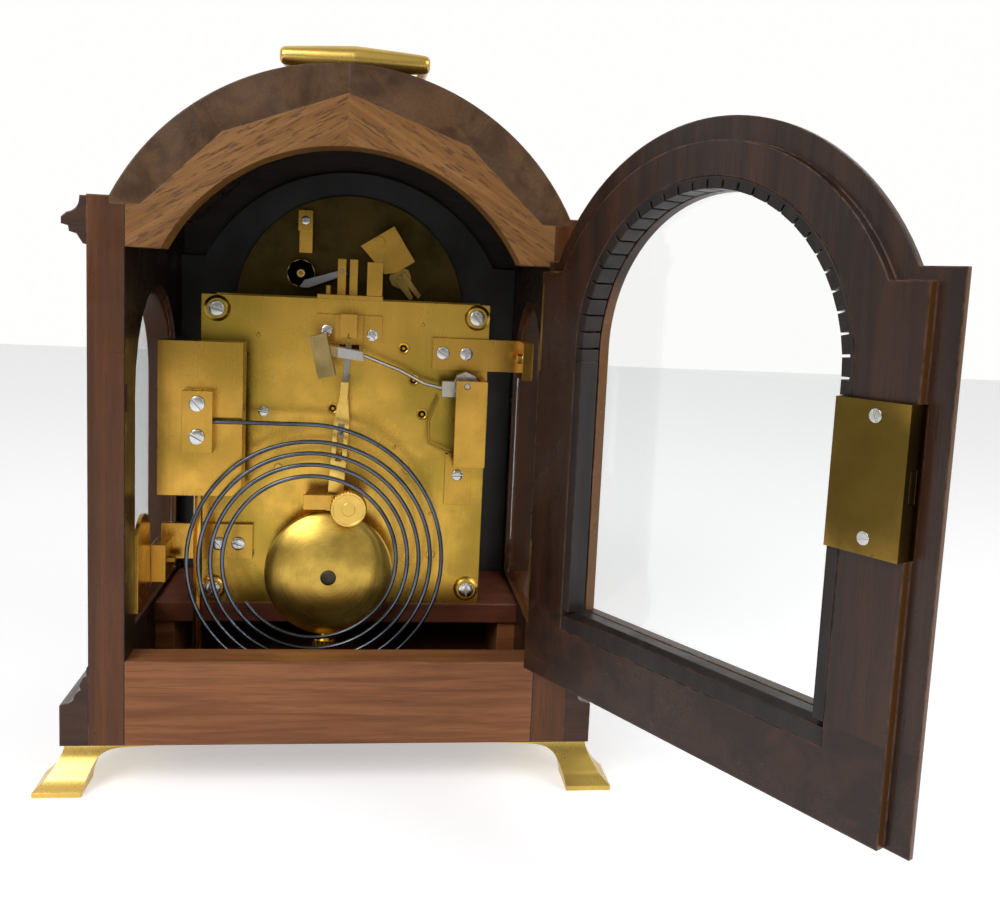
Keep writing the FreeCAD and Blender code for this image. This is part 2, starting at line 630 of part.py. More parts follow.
def bead_blocks(kind):
    """The kerfed bead round the arch.  A straight strip is sawn part way through at even
    steps and bent, so it is one piece whose blocks stay joined along their outer edge."""
    mid_x, mid_z = at(kind + "_light_x"), at(kind + "_light_z")
    outer = at(kind + "_rebate_half - bead_fit")
    inner = at(kind + "_sight_half")
    root = inner + at("kerf_share") * (outer - inner)
    tail = at("bead_tail")
    count = int(at("bead_blocks"))
    half_kerf = at("kerf") / 2.0 / inner

    def spot(radius, angle):
        return FreeCAD.Vector(mid_x + radius * math.cos(angle), 0,
                              mid_z + radius * math.sin(angle))

    def foot_spot(radius, side):
        return FreeCAD.Vector(mid_x + side * radius, 0, mid_z - tail)
    corners = [foot_spot(inner, 1)]
    for k in range(count + 1):
        angle = math.pi * k / count
        for radius, turn in ((inner, -half_kerf), (root, -half_kerf),
                             (root, half_kerf), (inner, half_kerf)):
            corners.append(spot(radius, angle + turn))
    corners += [foot_spot(inner, -1), foot_spot(outer, -1)]
    edges = [Part.makeLine(a, b) for a, b in zip(corners, corners[1:])]
    edges.append(Part.makeLine(corners[-1], spot(outer, math.pi)))
    edges.append(Part.Arc(spot(outer, math.pi), spot(outer, math.pi / 2),
                          spot(outer, 0)).toShape())
    edges.append(Part.makeLine(spot(outer, 0), foot_spot(outer, 1)))
    edges.append(Part.makeLine(foot_spot(outer, 1), corners[0]))
    face = Part.Face(Part.Wire(edges))
    depth = at("door_in + glass_back - 0.1")
    solid = face.extrude(FreeCAD.Vector(0, depth, 0))
    solid.translate(FreeCAD.Vector(0, at("case_back + door_seat - door_in"), 0))
    return formed(kind.capitalize() + "KerfedBead", solid)


def glazing_beads(kind):
    """The kerfed arch bead, a straight bead down each side and a deeper one on the sill."""
    inside = "case_back + door_seat - door_in"
    glass = "case_back + door_seat + glass_back - 0.1"
    outer = kind + "_rebate_half - bead_fit"
    inner, mid = kind + "_sight_half", kind + "_light_x"
    top = kind + "_light_z - bead_tail - 0.2"
    sill = slab(kind.capitalize() + "Sill", "YZ", "%s - (%s)" % (mid, outer),
                "%s + (%s)" % (mid, outer), [
                    (inside, kind + "_rebate_low + 0.2"), (glass, kind + "_rebate_low + 0.2"),
                    (glass, kind + "_sight_low"), (inside + " + 4", kind + "_sight_low"),
                    (inside + " + 2.2", kind + "_sight_low - 2.2"),
                    (inside, kind + "_sight_low - 2.2")])
    low = kind + "_sight_low + 0.2"
    free = block(kind.capitalize() + "BeadFree", "%s + (%s)" % (mid, inner), inside, low,
                 "%s + (%s)" % (mid, outer), glass, top)
    hinge = block(kind.capitalize() + "BeadHinge", "%s - (%s)" % (mid, outer), inside, low,
                  "%s - (%s)" % (mid, inner), glass, top)
    notch = block("LockNotch", "hinge_x + lock_left - 0.1", inside + " - 1", "lock_low - 0.1",
                  "hinge_x + lock_right", "case_back + door_seat + lock_edge",
                  "lock_high + 1")
    return group(kind.capitalize() + "Beads", bead_blocks(kind), sill, hinge,
                 cut("NotchedBead", free, notch))


def lock_case():
    """A box lock let into the free edge of the door: a cover plate, an edge plate with the
    bolt's slot, and open inside for the bolt."""
    seat = "case_back + door_seat"
    left, right = "hinge_x + lock_left", "hinge_x + lock_right"
    body = slab("LockCase", "XY", "lock_low", "lock_high",
                box(left, seat + " - lock_face", right, seat + " + lock_edge - 0.1"))
    pocket(body, "XY", "bolt_low - 0.2", "bolt_high + 0.2",
           box(left + " + lock_wall", seat + " - bolt_mid - bolt_thick / 2 - 0.2", right,
               seat + " - bolt_mid + bolt_thick / 2 + 0.2"))
    return body


def lock_bolt():
    """The bolt, drawn back flush with the edge plate."""
    seat = "case_back + door_seat"
    return block("LockBolt", "hinge_x + lock_right - 14",
                 seat + " - bolt_mid - bolt_thick / 2", "bolt_low", "hinge_x + lock_right",
                 seat + " - bolt_mid + bolt_thick / 2", "bolt_high")


def hinge_knuckle(name, low, high):
    return rod(name, "hinge_x", "hinge_y", low, "knuckle_r", "(%s) - (%s)" % (high, low))


def door_leaves(name):
    """The door's half of both butts: a leaf let into the edge and the middle knuckle."""
    halves = []
    for k, low in enumerate(("hinge_low", "hinge_high")):
        third = low + " + hinge_long / 3"
        upper = low + " + 2 * hinge_long / 3"
        leaf = block("%sLeaf%d" % (name, k), "hinge_x + door_left + 0.1",
                     "case_back + door_seat - door_in + 0.1", low + " + 0.2",
                     "hinge_x + door_left + leaf", "hinge_y", low + " + hinge_long - 0.2")
        barrel = hinge_knuckle("%sBarrel%d" % (name, k), third + " + 0.2", upper + " - 0.2")
        gaps = []
        for side, (start, stop) in enumerate(((low, third), (upper, low + " + hinge_long"))):
            gaps.append(rod("%sGap%d%d" % (name, k, side), "hinge_x", "hinge_y",
                            "%s - 0.2" % start, "knuckle_r + 0.3",
                            "(%s) - (%s) + 0.4" % (stop, start)))
        trimmed = cut("%sLeafCut%d" % (name, k), leaf, *gaps)
        hole = bore("%sBore%d" % (name, k), "hinge_x", "hinge_y", third, "hinge_pin_r",
                    "hinge_long / 3")
        halves.append(cut("%sHalf%d" % (name, k), fuse("%sWhole%d" % (name, k), trimmed,
                                                       barrel), hole))
    return group(name, *halves)


def case_leaves(name):
    """The case's half of both butts: two knuckles, the pin, and a leaf in the jamb."""
    halves = []
    for k, low in enumerate(("hinge_low", "hinge_high")):
        third = low + " + hinge_long / 3"
        upper = low + " + 2 * hinge_long / 3"
        leaf = block("%sLeaf%d" % (name, k), "-opening_half - leaf", "case_back - leaf_wide",
                     low, "-opening_half - 0.05", "hinge_y - 1.5", low + " + hinge_long")
        lower = hinge_knuckle("%sLower%d" % (name, k), low, third)
        higher = hinge_knuckle("%sHigher%d" % (name, k), upper, low + " + hinge_long")
        pin = rod("%sPin%d" % (name, k), "hinge_x", "hinge_y", low, "hinge_pin_r",
                  "hinge_long")
        gap = rod("%sGap%d" % (name, k), "hinge_x", "hinge_y", third, "knuckle_r + 0.3",
                  "hinge_long / 3")
        halves.append(fuse("%sHalf%d" % (name, k), cut("%sLeafCut%d" % (name, k), leaf, gap),
                           lower, higher, pin))
    return group(name, *halves)


# ---------------------------------------------------------------- dial and mask

def dial_outline(half, low, arch_r, corner_z="dial_arch_z"):
    """A square with a half-round break arch on its top edge."""
    return [("-" + half, low), (half, low), (half, corner_z), (arch_r, corner_z),
            ("-" + arch_r, corner_z, "0", "dial_arch_z", 1), ("-" + half, corner_z)]


def dial_mask():
    """The black board between the front frame and the dial, cut to show the dial only."""
    front = "dial_back - dial_thick - mask_thick"
    shoulder = "shoulder_z"
    foot = "sqrt((arch_r + 2)^2 - (shoulder_z - arch_z)^2)"
    outer = [("-opening_half + 0.2", "foot_top + board + 0.2"),
             ("opening_half - 0.2", "foot_top + board + 0.2"),
             ("opening_half - 0.2", shoulder), (foot, shoulder),
             ("-" + foot, shoulder, "0", "arch_z", 1), ("-opening_half + 0.2", shoulder)]
    return slab("DialMask", "XZ", front, "dial_back - dial_thick", outer,
                dial_outline("mask_half", "mask_low", "mask_arch_r"))


def dial_plate():
    """The brass dial with its winding holes, arbor holes and four riveted feet."""
    front, back = "dial_back - dial_thick", "dial_back"
    sheet = slab("DialSheet", "XZ", front, back,
                 dial_outline("dial_half", "dial_low", "dial_arch_r"))
    spots = (("0", "dial_mid_z", "5.6"), ("fusee_x", "fusee_z", "4.4"),
             ("-fusee_x", "fusee_z", "4.4"), ("arch_ring_x", "arch_ring_z", "1.5"),
             ("-arch_ring_x", "arch_ring_z", "1.5"))
    holes = [bore("DialHole%d" % k, x, front + " - 1", z, radius, "dial_thick + 2", "Y")
             for k, (x, z, radius) in enumerate(spots)]
    plate = cut("DialDrilled", sheet, *holes)
    pillars = []
    for k, (x, z) in enumerate(((62, 226), (-62, 226), (62, 96), (-62, 96))):
        pillars.append(rod("DialFoot%d" % k, x, "dial_back - 0.5", z, "2.4",
                           "front_plate_y - plate_thick - dial_back + 0.5", "Y"))
    return fuse("DialPlate", plate, *pillars)


def silvered_rings():
    """The chapter ring and the two small rings in the arch, all riveted to the dial."""
    low = "dial_back - dial_thick - ring_thick"
    whole = rod("ChapterDisc", "0", low, "dial_mid_z", "chapter_r", "ring_thick", "Y", 36)
    sight = rod("ChapterSight", "0", low + " - 1", "dial_mid_z", "chapter_in",
                "ring_thick + 2", "Y", 36)
    rings = [cut("ChapterRing", whole, sight)]
    for side, name in ((1, "Right"), (-1, "Left")):
        x = "%d * arch_ring_x" % side
        disc = rod("ArchDisc" + name, x, low, "arch_ring_z", "arch_ring_r", "ring_thick",
                   "Y", 16)
        eye = rod("ArchEye" + name, x, low + " - 1", "arch_ring_z", "arch_ring_r * 0.45",
                  "ring_thick + 2", "Y")
        rings.append(cut("ArchRing" + name, disc, eye))
    return group("SilveredRings", *rings)


def hand(name, x, z, y, reach, width, eye_r, bore_r, angle, tail="0"):
    """A pierced-looking hand: an eye, a tapering shaft and a leaf-shaped point."""
    half = "(%s) / 2" % width
    thin = "(%s) / 5" % width
    outline = [
        ("-" + thin, "-(%s)" % tail), (thin, "-(%s)" % tail), (thin, "(%s) * 0.55" % reach),
        (half, "(%s) * 0.68" % reach), (thin, "(%s) * 0.82" % reach), ("0", reach),
        ("-" + thin, "(%s) * 0.82" % reach), ("-" + half, "(%s) * 0.68" % reach),
        ("-" + thin, "(%s) * 0.55" % reach)]
    blade = slab(name + "Blade", "XZ", "0", "1", outline)
    eye = rod(name + "Eye", "0", "0", "0", eye_r, "1", "Y")
    whole = fuse(name + "Whole", blade, eye)
    hole = bore(name + "Hole", "0", "-1", "0", bore_r, "3", "Y")
    piece = cut(name, whole, hole)
    turn = FreeCAD.Rotation(FreeCAD.Vector(0, 1, 0), angle)
    piece.Placement = FreeCAD.Placement(vec(x, y, z), turn)
    return piece


# ---------------------------------------------------------------- wheels and arbors

# The counts of teeth, and where each wheel or pinion stands on its arbor, as the y of its
# front and of its back.
TEETH = {"great": 60, "pinion": 6, "centre": 84, "third": 72, "escape": 30, "pin": 60,
         "warning": 48, "cannon": 12, "minute": 36, "nut": 8, "hour": 32}
LEVELS = {
    "great": (-39.4, -36.9), "first_pinion": (-40.3, -35.4),
    "centre": (3.4, 5.2), "third_pinion": (2.4, 6.4),
    "third": (-8.2, -6.8), "escape_pinion": (-9.6, -5.4), "escape": (0.6, 1.9),
    "pin": (-20.2, -18.4), "warning_pinion": (-21.4, -17.2),
    "warning": (-30.0, -28.6), "fly_pinion": (-32.0, -26.5),
    "cannon": (-47.4, -46.0), "nut": (-52.4, -47.4), "hour": (-51.8, -50.4)}


def teeth_outline(count, radius, top, bottom, phase):
    """Corners of a wheel with straight-sided pointed teeth; phase turns a tooth to it."""
    corners = []
    for k in range(count):
        for radius_here, step in ((radius - bottom, -0.5), (radius + top, 0.0)):
            angle = math.radians(phase) + 2 * math.pi * (k + step) / count
            corners.append((radius_here * math.cos(angle), radius_here * math.sin(angle)))
    return corners


def toothed(count, radius, phase, y0, y1, x, z, spokes=0):
    """A toothed disc about an arbor that runs along Y.  Angles run from +X towards +Z.
    A wheel is crossed out: sector windows leave a rim, spokes and a hub."""
    module = 2.0 * radius / count
    corners = teeth_outline(count, radius, 0.5 * module, 1.15 * module, phase)
    face = flat([FreeCAD.Vector(u, 0, v) for u, v in corners])
    solid = face.extrude(FreeCAD.Vector(0, y1 - y0, 0))
    rim, hub = radius - 1.15 * module - 2.2, max(4.0, radius * 0.2)
    windows = []
    for k in range(spokes):
        width = 2.6
        middle = 2 * math.pi * (k + 0.5) / spokes
        inner = math.pi / spokes - width / 2.0 / hub
        outer = math.pi / spokes - width / 2.0 / rim
        corner = [(hub, -inner), (hub, inner), (rim, outer), (rim, outer / 3),
                  (rim, -outer / 3), (rim, -outer)]
        window = flat([FreeCAD.Vector(r * math.cos(middle + turn), 0,
                                      r * math.sin(middle + turn)) for r, turn in corner])
        windows.append(window.extrude(FreeCAD.Vector(0, y1 - y0, 0)))
    if windows:
        solid = solid.cut(windows)
    solid.translate(FreeCAD.Vector(x, y0, z))
    return solid


# An arbor's end shake: the gap between its shoulder and the plate.
SHAKE = 0.4


def bar(x, z, radius, y0, y1, sides=8):
    """A round bar along Y, in flats."""
    corners = [FreeCAD.Vector(x + v.x, y0, z + v.y) for v in ring_of(radius, 0, sides)]
    return flat(corners).extrude(FreeCAD.Vector(0, y1 - y0, 0))


def staff(x, z, *steps, sides=8):
    """An arbor along Y from steps (radius, y0, y1) that meet end to end."""
    solids = [bar(x, z, r, y0, y1, sides) for r, y0, y1 in steps]
    return solids[0].fuse(solids[1:]) if len(solids) > 1 else solids[0]


def wire_of(points, radius):
    """A bent wire of six flats along straight runs with mitred corners."""
    path = Part.makePolygon(points)
    run = points[1] - points[0]
    turn = FreeCAD.Rotation(FreeCAD.Vector(0, 0, 1), run)
    ring = [points[0] + turn.multVec(corner) for corner in ring_of(radius, 0, 6)]
    return path.makePipeShell([Part.makePolygon(ring + ring[:1])], True, False, 1)


def arbor(name, *shapes):
    """One arbor with all that is fixed on it."""
    whole = shapes[0].fuse(list(shapes[1:])).removeSplitter()
    return formed(name, whole)


def read_train():
    """The centres of the arbors, worked out from the sheet."""
    return {
        "fusee": (at("fusee_x"), at("fusee_z")), "strike": (-at("fusee_x"), at("fusee_z")),
        "centre": (0.0, at("dial_mid_z")), "third": (at("third_x"), at("third_z")),
        "escape": (at("escape_x"), at("escape_z")), "pin": (at("pin_x"), at("pin_z")),
        "warn": (at("warn_x"), at("warn_z")), "fly": (at("fly_x"), at("fly_z")),
        "minute": (0.0, at("minute_z"))}


def mesh(spots, driver, follower, wheel, pinion="pinion"):
    """Pitch radii and phases of a wheel and the pinion that it drives."""
    wheel_teeth, pinion_teeth = TEETH[wheel], TEETH[pinion]
    (x0, z0), (x1, z1) = spots[driver], spots[follower]
    gap = math.hypot(x1 - x0, z1 - z0)
    toward = math.degrees(math.atan2(z1 - z0, x1 - x0))
    share = wheel_teeth / (wheel_teeth + pinion_teeth)
    return {"wheel_r": gap * share, "pinion_r": gap * (1 - share), "wheel_phase": toward,
            "pinion_phase": toward + 180.0 + 180.0 / pinion_teeth}


def fusee(name, spots, driver, follower, square_out):
    """Great wheel, grooved cone and winding arbor.  The cone carries the line in steps."""
    x, z = spots[driver]
    gear = mesh(spots, driver, follower, "great")
    front, back = LEVELS["great"]
    great = toothed(TEETH["great"], gear["wheel_r"], gear["wheel_phase"], front, back, x, z)
    pitch, land, depth = 6.6, 5.2, 1.3
    cone_steps = []
    for k in range(4):
        low = back + pitch * k
        radius = 7.2 + 10.0 * math.exp(-0.6 * k)
        cone_steps += [(radius, low, low + land), (radius - depth, low + land, low + pitch)]
    body = staff(x, z, *cone_steps, sides=12)
    stout, pivot, shoulder = 3.0, 2.0, FRONT + SHAKE
    shaft = staff(x, z, (pivot, FRONT_OUT - 0.1, shoulder), (stout, shoulder, back),
                  (stout, cone_steps[-1][2], BACK - SHAKE),
                  (pivot, BACK - SHAKE, BACK_OUT + SHAKE))
    side = 3.3
    square = Part.makeBox(side, FRONT_OUT - square_out, side)
    square.translate(FreeCAD.Vector(x - side / 2, square_out, z - side / 2))
    return arbor(name, great, body, shaft, square)


def barrel(name, side):
    """The spring's drum with its lipped cover, on its arbor, and its ratchet square."""
    x, z, radius = side * at("barrel_x"), at("barrel_z"), at("barrel_r")
    front, back, lip, lip_out = -34.0, 6.4, 1.7, 0.9
    stout, pivot = 3.6, 2.4
    shaft = staff(x, z, (pivot, FRONT_OUT - 5.0, FRONT + SHAKE), (stout, FRONT + SHAKE, front),
                  (stout, back, BACK - SHAKE), (pivot, BACK - SHAKE, BACK_OUT - 0.2))
    drum = staff(x, z, (radius, front, front + lip),
                 (radius - lip_out, front + lip, back - lip), (radius, back - lip, back),
                 sides=16)
    return arbor(name, drum, shaft)


def fusee_lines(spots):
    """The gut lines, each one straight run from its barrel's edge to its fusee's groove."""
    lines = []
    for side in (1, -1):
        x0, z0 = side * at("barrel_x"), at("barrel_z")
        x1, z1 = side * spots["fusee"][0], spots["fusee"][1]
        r0, r1 = at("barrel_r") - 0.1, 13.2
        gap = math.hypot(x1 - x0, z1 - z0)
        lean = math.atan2(z1 - z0, x1 - x0) - side * math.acos((r0 - r1) / gap)
        start = FreeCAD.Vector(x0 + r0 * math.cos(lean), -28.0, z0 + r0 * math.sin(lean))
        stop = FreeCAD.Vector(x1 + r1 * math.cos(lean), -28.0, z1 + r1 * math.sin(lean))
        lines.append(wire_of([start, stop], 0.6))
    return formed("FuseeLines", Part.Compound(lines))


def train_arbor(name, spots, spot, *shapes):
    """An arbor between the plates, its pivots running in them, with its wheels."""
    x, z = spots[spot]
    body, pivot = at("arbor_r"), at("pivot_r")
    shaft = staff(x, z, (pivot, FRONT_OUT + 0.3, FRONT + SHAKE),
                  (body, FRONT + SHAKE, BACK - SHAKE), (pivot, BACK - SHAKE, BACK_OUT - 0.3))
    return arbor(name, shaft, *shapes)


def wheel_on(spots, spot, gear, wheel):
    return toothed(TEETH[wheel], gear["wheel_r"], gear["wheel_phase"], *LEVELS[wheel],
                   *spots[spot], spokes=4)


def pinion_on(spots, spot, gear, level):
    return toothed(TEETH["pinion"], gear["pinion_r"], gear["pinion_phase"], *LEVELS[level],
                   *spots[spot])


def escape_wheel(spots):
    """Thirty raked teeth, undercut on one face, on a crossed-out rim."""
    x, z = spots["escape"]
    count, tip = TEETH["escape"], at("escape_r")
    front, back = LEVELS["escape"]
    corners = []
    for k in range(count):
        angle = 2 * math.pi * k / count
        corners.append((tip * math.cos(angle), tip * math.sin(angle)))
        low = angle + 2 * math.pi / count * 0.12
        corners.append(((tip - 2.6) * math.cos(low), (tip - 2.6) * math.sin(low)))
    disc = flat([FreeCAD.Vector(u, 0, v) for u, v in corners]).extrude(
        FreeCAD.Vector(0, back - front, 0))
    windows = []
    for k in range(4):
        middle = math.pi / 2 * (k + 0.5)
        windows.append(bar(6.3 * math.cos(middle), 6.3 * math.sin(middle), 2.6, 0,
                           back - front))
    disc = disc.cut(windows)
    disc.translate(FreeCAD.Vector(x, front, z))
    return disc


def pallets():
    """The anchor, its arbor, and the crutch that comes out through the back plate."""
    x, z = at("escape_x"), at("pallet_z")
    tip = z - at("escape_z") - at("escape_r") - 1.4
    arms = [(0, 4.2), (5.5, 3.4), (12.2, -2.6), (12.8, -9.2), (11.0, -9.6), (9.6, -4.6),
            (4.6, -tip + 2.2), (-4.6, -tip + 2.2), (-9.6, -4.6), (-11.0, -9.6), (-12.8, -9.2),
            (-12.2, -2.6), (-5.5, 3.4)]
    anchor = flat([FreeCAD.Vector(x + u, 0.3, z + v) for u, v in arms]).extrude(
        FreeCAD.Vector(0, 1.9, 0))
    anchor.rotate(FreeCAD.Vector(x, 0, z), FreeCAD.Vector(0, 1, 0), -at("swing"))
    arbor_r, pivot = at("arbor_r"), at("pivot_r")
    shaft = staff(x, z, (pivot, FRONT_OUT + 0.3, FRONT + SHAKE),
                  (arbor_r, FRONT + SHAKE, 15.4), (pivot, 15.4, 19.0))
    lean = math.radians(at("swing"))
    down = FreeCAD.Vector(math.sin(lean), 0, -math.cos(lean))
    drop = at("crutch_drop")
    foot = FreeCAD.Vector(x, 14.9, z) + down * drop
    strap = Part.makeBox(3.2, 1.2, drop + 1.2)
    strap.translate(FreeCAD.Vector(-1.6, 14.2, -drop - 1.2))
    strap.rotate(FreeCAD.Vector(), FreeCAD.Vector(0, 1, 0), -at("swing"))
    strap.translate(FreeCAD.Vector(x, 0, z))
    pin = bar(foot.x, foot.z, 1.0, 14.9, 29.5)
    return arbor("PalletsAndCrutch", shaft, anchor, strap, pin)


def fly(spots, gear):
    """The fly: two thin vanes that steady the strike, on the last pinion's arbor."""
    x, z = spots["fly"]
    vanes = Part.makeBox(24.0, 18.0, 0.8)
    vanes.translate(FreeCAD.Vector(x - 12.0, -18.0, z - 0.4))
    pipe = staff(x, z, (2.4, -18.0, 0.0))
    return train_arbor("FlyArbor", spots, "fly", vanes, pipe,
                       pinion_on(spots, "fly", gear, "fly_pinion"))


def pin_wheel(spots, gear_in, gear_out):
    """The wheel whose eight pins lift the hammer tail, with its pinion."""
    x, z = spots["pin"]
    pins = []
    for k in range(8):
        angle = 2 * math.pi * k / 8
        pins.append(bar(x + 14.5 * math.cos(angle), z + 14.5 * math.sin(angle), 0.7, -18.6,
                        -14.6, 6))
    return train_arbor("PinWheelArbor", spots, "pin",
                       pinion_on(spots, "pin", gear_in, "first_pinion"),
                       wheel_on(spots, "pin", gear_out, "pin"), *pins)


def build_trains():
    """Both trains and the motion work behind the dial."""
    spots = read_train()
    going = mesh(spots, "fusee", "centre", "great")
    centre = mesh(spots, "centre", "third", "centre")
    third = mesh(spots, "third", "escape", "third")
    strike = mesh(spots, "strike", "pin", "great")
    pin = mesh(spots, "pin", "warn", "pin")
    warn = mesh(spots, "warn", "fly", "warning")
    square_out = at("dial_back - dial_thick - 2.2")
    node("going_fusee", fusee("GoingFusee", spots, "fusee", "centre", square_out))
    node("strike_fusee", fusee("StrikeFusee", spots, "strike", "pin", square_out))
    node("going_barrel", barrel("GoingBarrel", 1))
    node("strike_barrel", barrel("StrikeBarrel", -1))
    node("fusee_lines", fusee_lines(spots))
    x, z = spots["centre"]
    motion = mesh(spots, "centre", "minute", "cannon", "minute")
    cannon = toothed(TEETH["cannon"], motion["wheel_r"], motion["wheel_phase"],
                     *LEVELS["cannon"], x, z)
    pipe = staff(x, z, (2.6, -49.0, -44.6), (1.9, at("hand_y - 3.4"), -49.0),
                 (1.3, -44.6, FRONT))
    node("centre_arbor", train_arbor(
        "CentreArbor", spots, "centre", pinion_on(spots, "centre", going, "first_pinion"),
        wheel_on(spots, "centre", centre, "centre"), cannon, pipe))
    node("third_arbor", train_arbor(
        "ThirdArbor", spots, "third", pinion_on(spots, "third", centre, "third_pinion"),
        wheel_on(spots, "third", third, "third")))
    node("escape_arbor", train_arbor(
        "EscapeArbor", spots, "escape", pinion_on(spots, "escape", third, "escape_pinion"),
        escape_wheel(spots)))
    node("pallets_and_crutch", pallets())
    node("pin_wheel_arbor", pin_wheel(spots, strike, pin))
    node("warning_arbor", train_arbor(
        "WarningArbor", spots, "warn", pinion_on(spots, "warn", pin, "warning_pinion"),
        wheel_on(spots, "warn", warn, "warning")))
    node("fly_arbor", fly(spots, warn))
    motion_work(spots, motion)


def motion_work(spots, motion):
    """The minute wheel on its stud and the hour wheel on its pipe."""
    x, z = spots["minute"]
    x0, z0 = spots["centre"]
    slow = mesh(spots, "minute", "centre", "nut", "hour")
    wheel = toothed(TEETH["minute"], motion["pinion_r"], motion["pinion_phase"],
                    *LEVELS["cannon"], x, z)
    nut = toothed(TEETH["nut"], slow["wheel_r"], slow["wheel_phase"], *LEVELS["nut"], x, z)
    hole = bar(x, z, 1.14, -53.0, -45.0)
    node("minute_wheel", formed("MinuteWheel", wheel.fuse(nut).cut(hole)))
    front, back = LEVELS["hour"]
    hour = toothed(TEETH["hour"], slow["pinion_r"], slow["pinion_phase"], front, back, x0, z0)
    tube = staff(x0, z0, (3.6, at("hand_y - 1.2"), back))
    hollow = bar(x0, z0, 2.11, -80.0, -40.0)
    node("hour_wheel", formed("HourWheel", hour.fuse(tube).cut(hollow).removeSplitter()))


# ---------------------------------------------------------------- the movement's frame

ARBOR_HOLES = (("0", "dial_mid_z"), ("third_x", "third_z"), ("escape_x", "escape_z"),
               ("pin_x", "pin_z"), ("warn_x", "warn_z"), ("fly_x", "fly_z"))


def movement_plate(name, low, is_back):
    """One plate: holes for pivots, for the stout fusee and barrel arbors, and for the
    pillars' ends.  The back plate is slotted for the crutch and notched for the hammer."""
    corner = "4"
    outline = [("plate_right", "plate_low"), ("plate_left - " + corner, "plate_low"),
               ("plate_left", "plate_low + " + corner), ("plate_left", "plate_high"),
               ("plate_right", "plate_high")]
    spots = [(x, z, "pivot_r") for x, z in ARBOR_HOLES[1:]]
    spots.append((*ARBOR_HOLES[0], "pivot_r" if is_back else "1.3"))
    for side in (1, -1):
        spots.append(("%d * fusee_x" % side, "fusee_z", "2"))
        spots.append(("%d * barrel_x" % side, "barrel_z", "2.4"))
    spots += [(x, z, "pillar_end_r - 0.1") for x, z in PILLARS]
    cut_outs = []
    if is_back:
        cut_outs.append(box("escape_x - 5.5", "crutch_low", "escape_x + 5.5", "crutch_top"))
        spots.append(("hammer_x", "hammer_z", "1.6"))
    else:
        spots.append(("escape_x", "pallet_z", "pivot_r"))
    sheet = slab(name + "Sheet", "XZ", low, low + " + plate_thick", outline, *cut_outs)
    holes = [bore("%sHole%d" % (name, k), x, low + " - 1", z, radius, "plate_thick + 2", "Y")
             for k, (x, z, radius) in enumerate(spots)]
    plate = cut(name + "Drilled", sheet, *holes)
    if is_back:
        return plate
    stud = rod("MinuteStud", "0", "dial_back + 3.6", "minute_z", "1",
               low + " - dial_back - 3.1", "Y")
    return fuse(name, plate, stud)


PILLARS = (("plate_left - 8.4", "plate_high - 7.6"), ("plate_right + 7.1", "plate_high - 7.2"),
           ("plate_right + 7.3", "plate_low + 9"), ("plate_left - 7.8", "plate_low + 8.4"))


def plate_pillars():
    """Four turned pillars between the plates, and the domed washers behind the plate."""
    parts = []
    length = "(back_plate_y - plate_thick - front_plate_y)"
    for k, (x, z) in enumerate(PILLARS):
        pillar = turned("Pillar%d" % k, [
            ("pillar_end_r - 0.1", "-plate_thick"), ("pillar_end_r - 0.1", "0"),
            ("pillar_r + 1.6", "0"), ("pillar_r - 0.8", "3.6"), ("pillar_r + 1", length + " / 2"),
            ("pillar_r - 0.8", length + " - 3.6"), ("pillar_r + 1.6", length),
            ("pillar_end_r - 0.1", length), ("pillar_end_r - 0.1", length + " + plate_thick")])
        parts.append(place(pillar, x, "front_plate_y", z, "Y"))
        washer = turned("Washer%d" % k, [
            ("washer_r", "0"), ("washer_r - 1.6", "2")], 12)
        parts.append(place(washer, x, "back_plate_y", z, "Y"))
    return group("PlatePillars", *parts)


def screw_head(name, x, y, z, radius, tall, angle):
    """A cheese head with a sawn slot, its face towards +Y."""
    head = rod(name + "Head", "0", "0", "0", radius, tall, "Y")
    slot = block(name + "Slot", "-(%s) * 1.1" % radius, "(%s) * 0.5" % tall,
                 "-0.16 * (%s)" % radius, "(%s) * 1.1" % radius, "(%s) * 1.2" % tall,
                 "0.16 * (%s)" % radius)
    piece = cut(name, head, slot)
    piece.Placement = FreeCAD.Placement(
        vec(x, y, z), FreeCAD.Rotation(FreeCAD.Vector(0, 1, 0), angle))
    return piece


def movement_screws():
    """Every slotted steel screw that shows at the back of the movement."""
    back, cock = "back_plate_y", "back_plate_y + cock_thick"
    spots = [(x, back + " + 2", z, "4.2", "1.8", 70 - 35 * k)
             for k, (x, z) in enumerate(PILLARS)]
    spots += [("10.6", cock, "233.6", "3.1", "1.5", -60), ("-14.2", cock, "231.8", "3.1", "1.5", 35),
              ("-53.8", cock, "223.5", "3.6", "1.6", 55), ("-66.9", cock, "223.4", "3.6", "1.6", 0),
              ("67.4", cock, "112.4", "3.6", "1.6", 40), ("56.8", cock, "112.6", "3.6", "1.6", 70),
              ("-64.5", "back_plate_y + 2.2", "154.2", "3.1", "1.6", 90),
              ("clamp_x", "clamp_back", "194.4", "4.0", "1.6", 40),
              ("clamp_x", "clamp_back", "177.0", "4.0", "1.6", 60),
              ("11.5", "back_plate_y + 2", "136.8", "2.6", "1.4", 15),
              ("44.5", back, "187.3", "2.9", "1.4", 80)]
    return group("MovementScrews", *[screw_head("Screw%d" % k, *spot)
                                     for k, spot in enumerate(spots)])


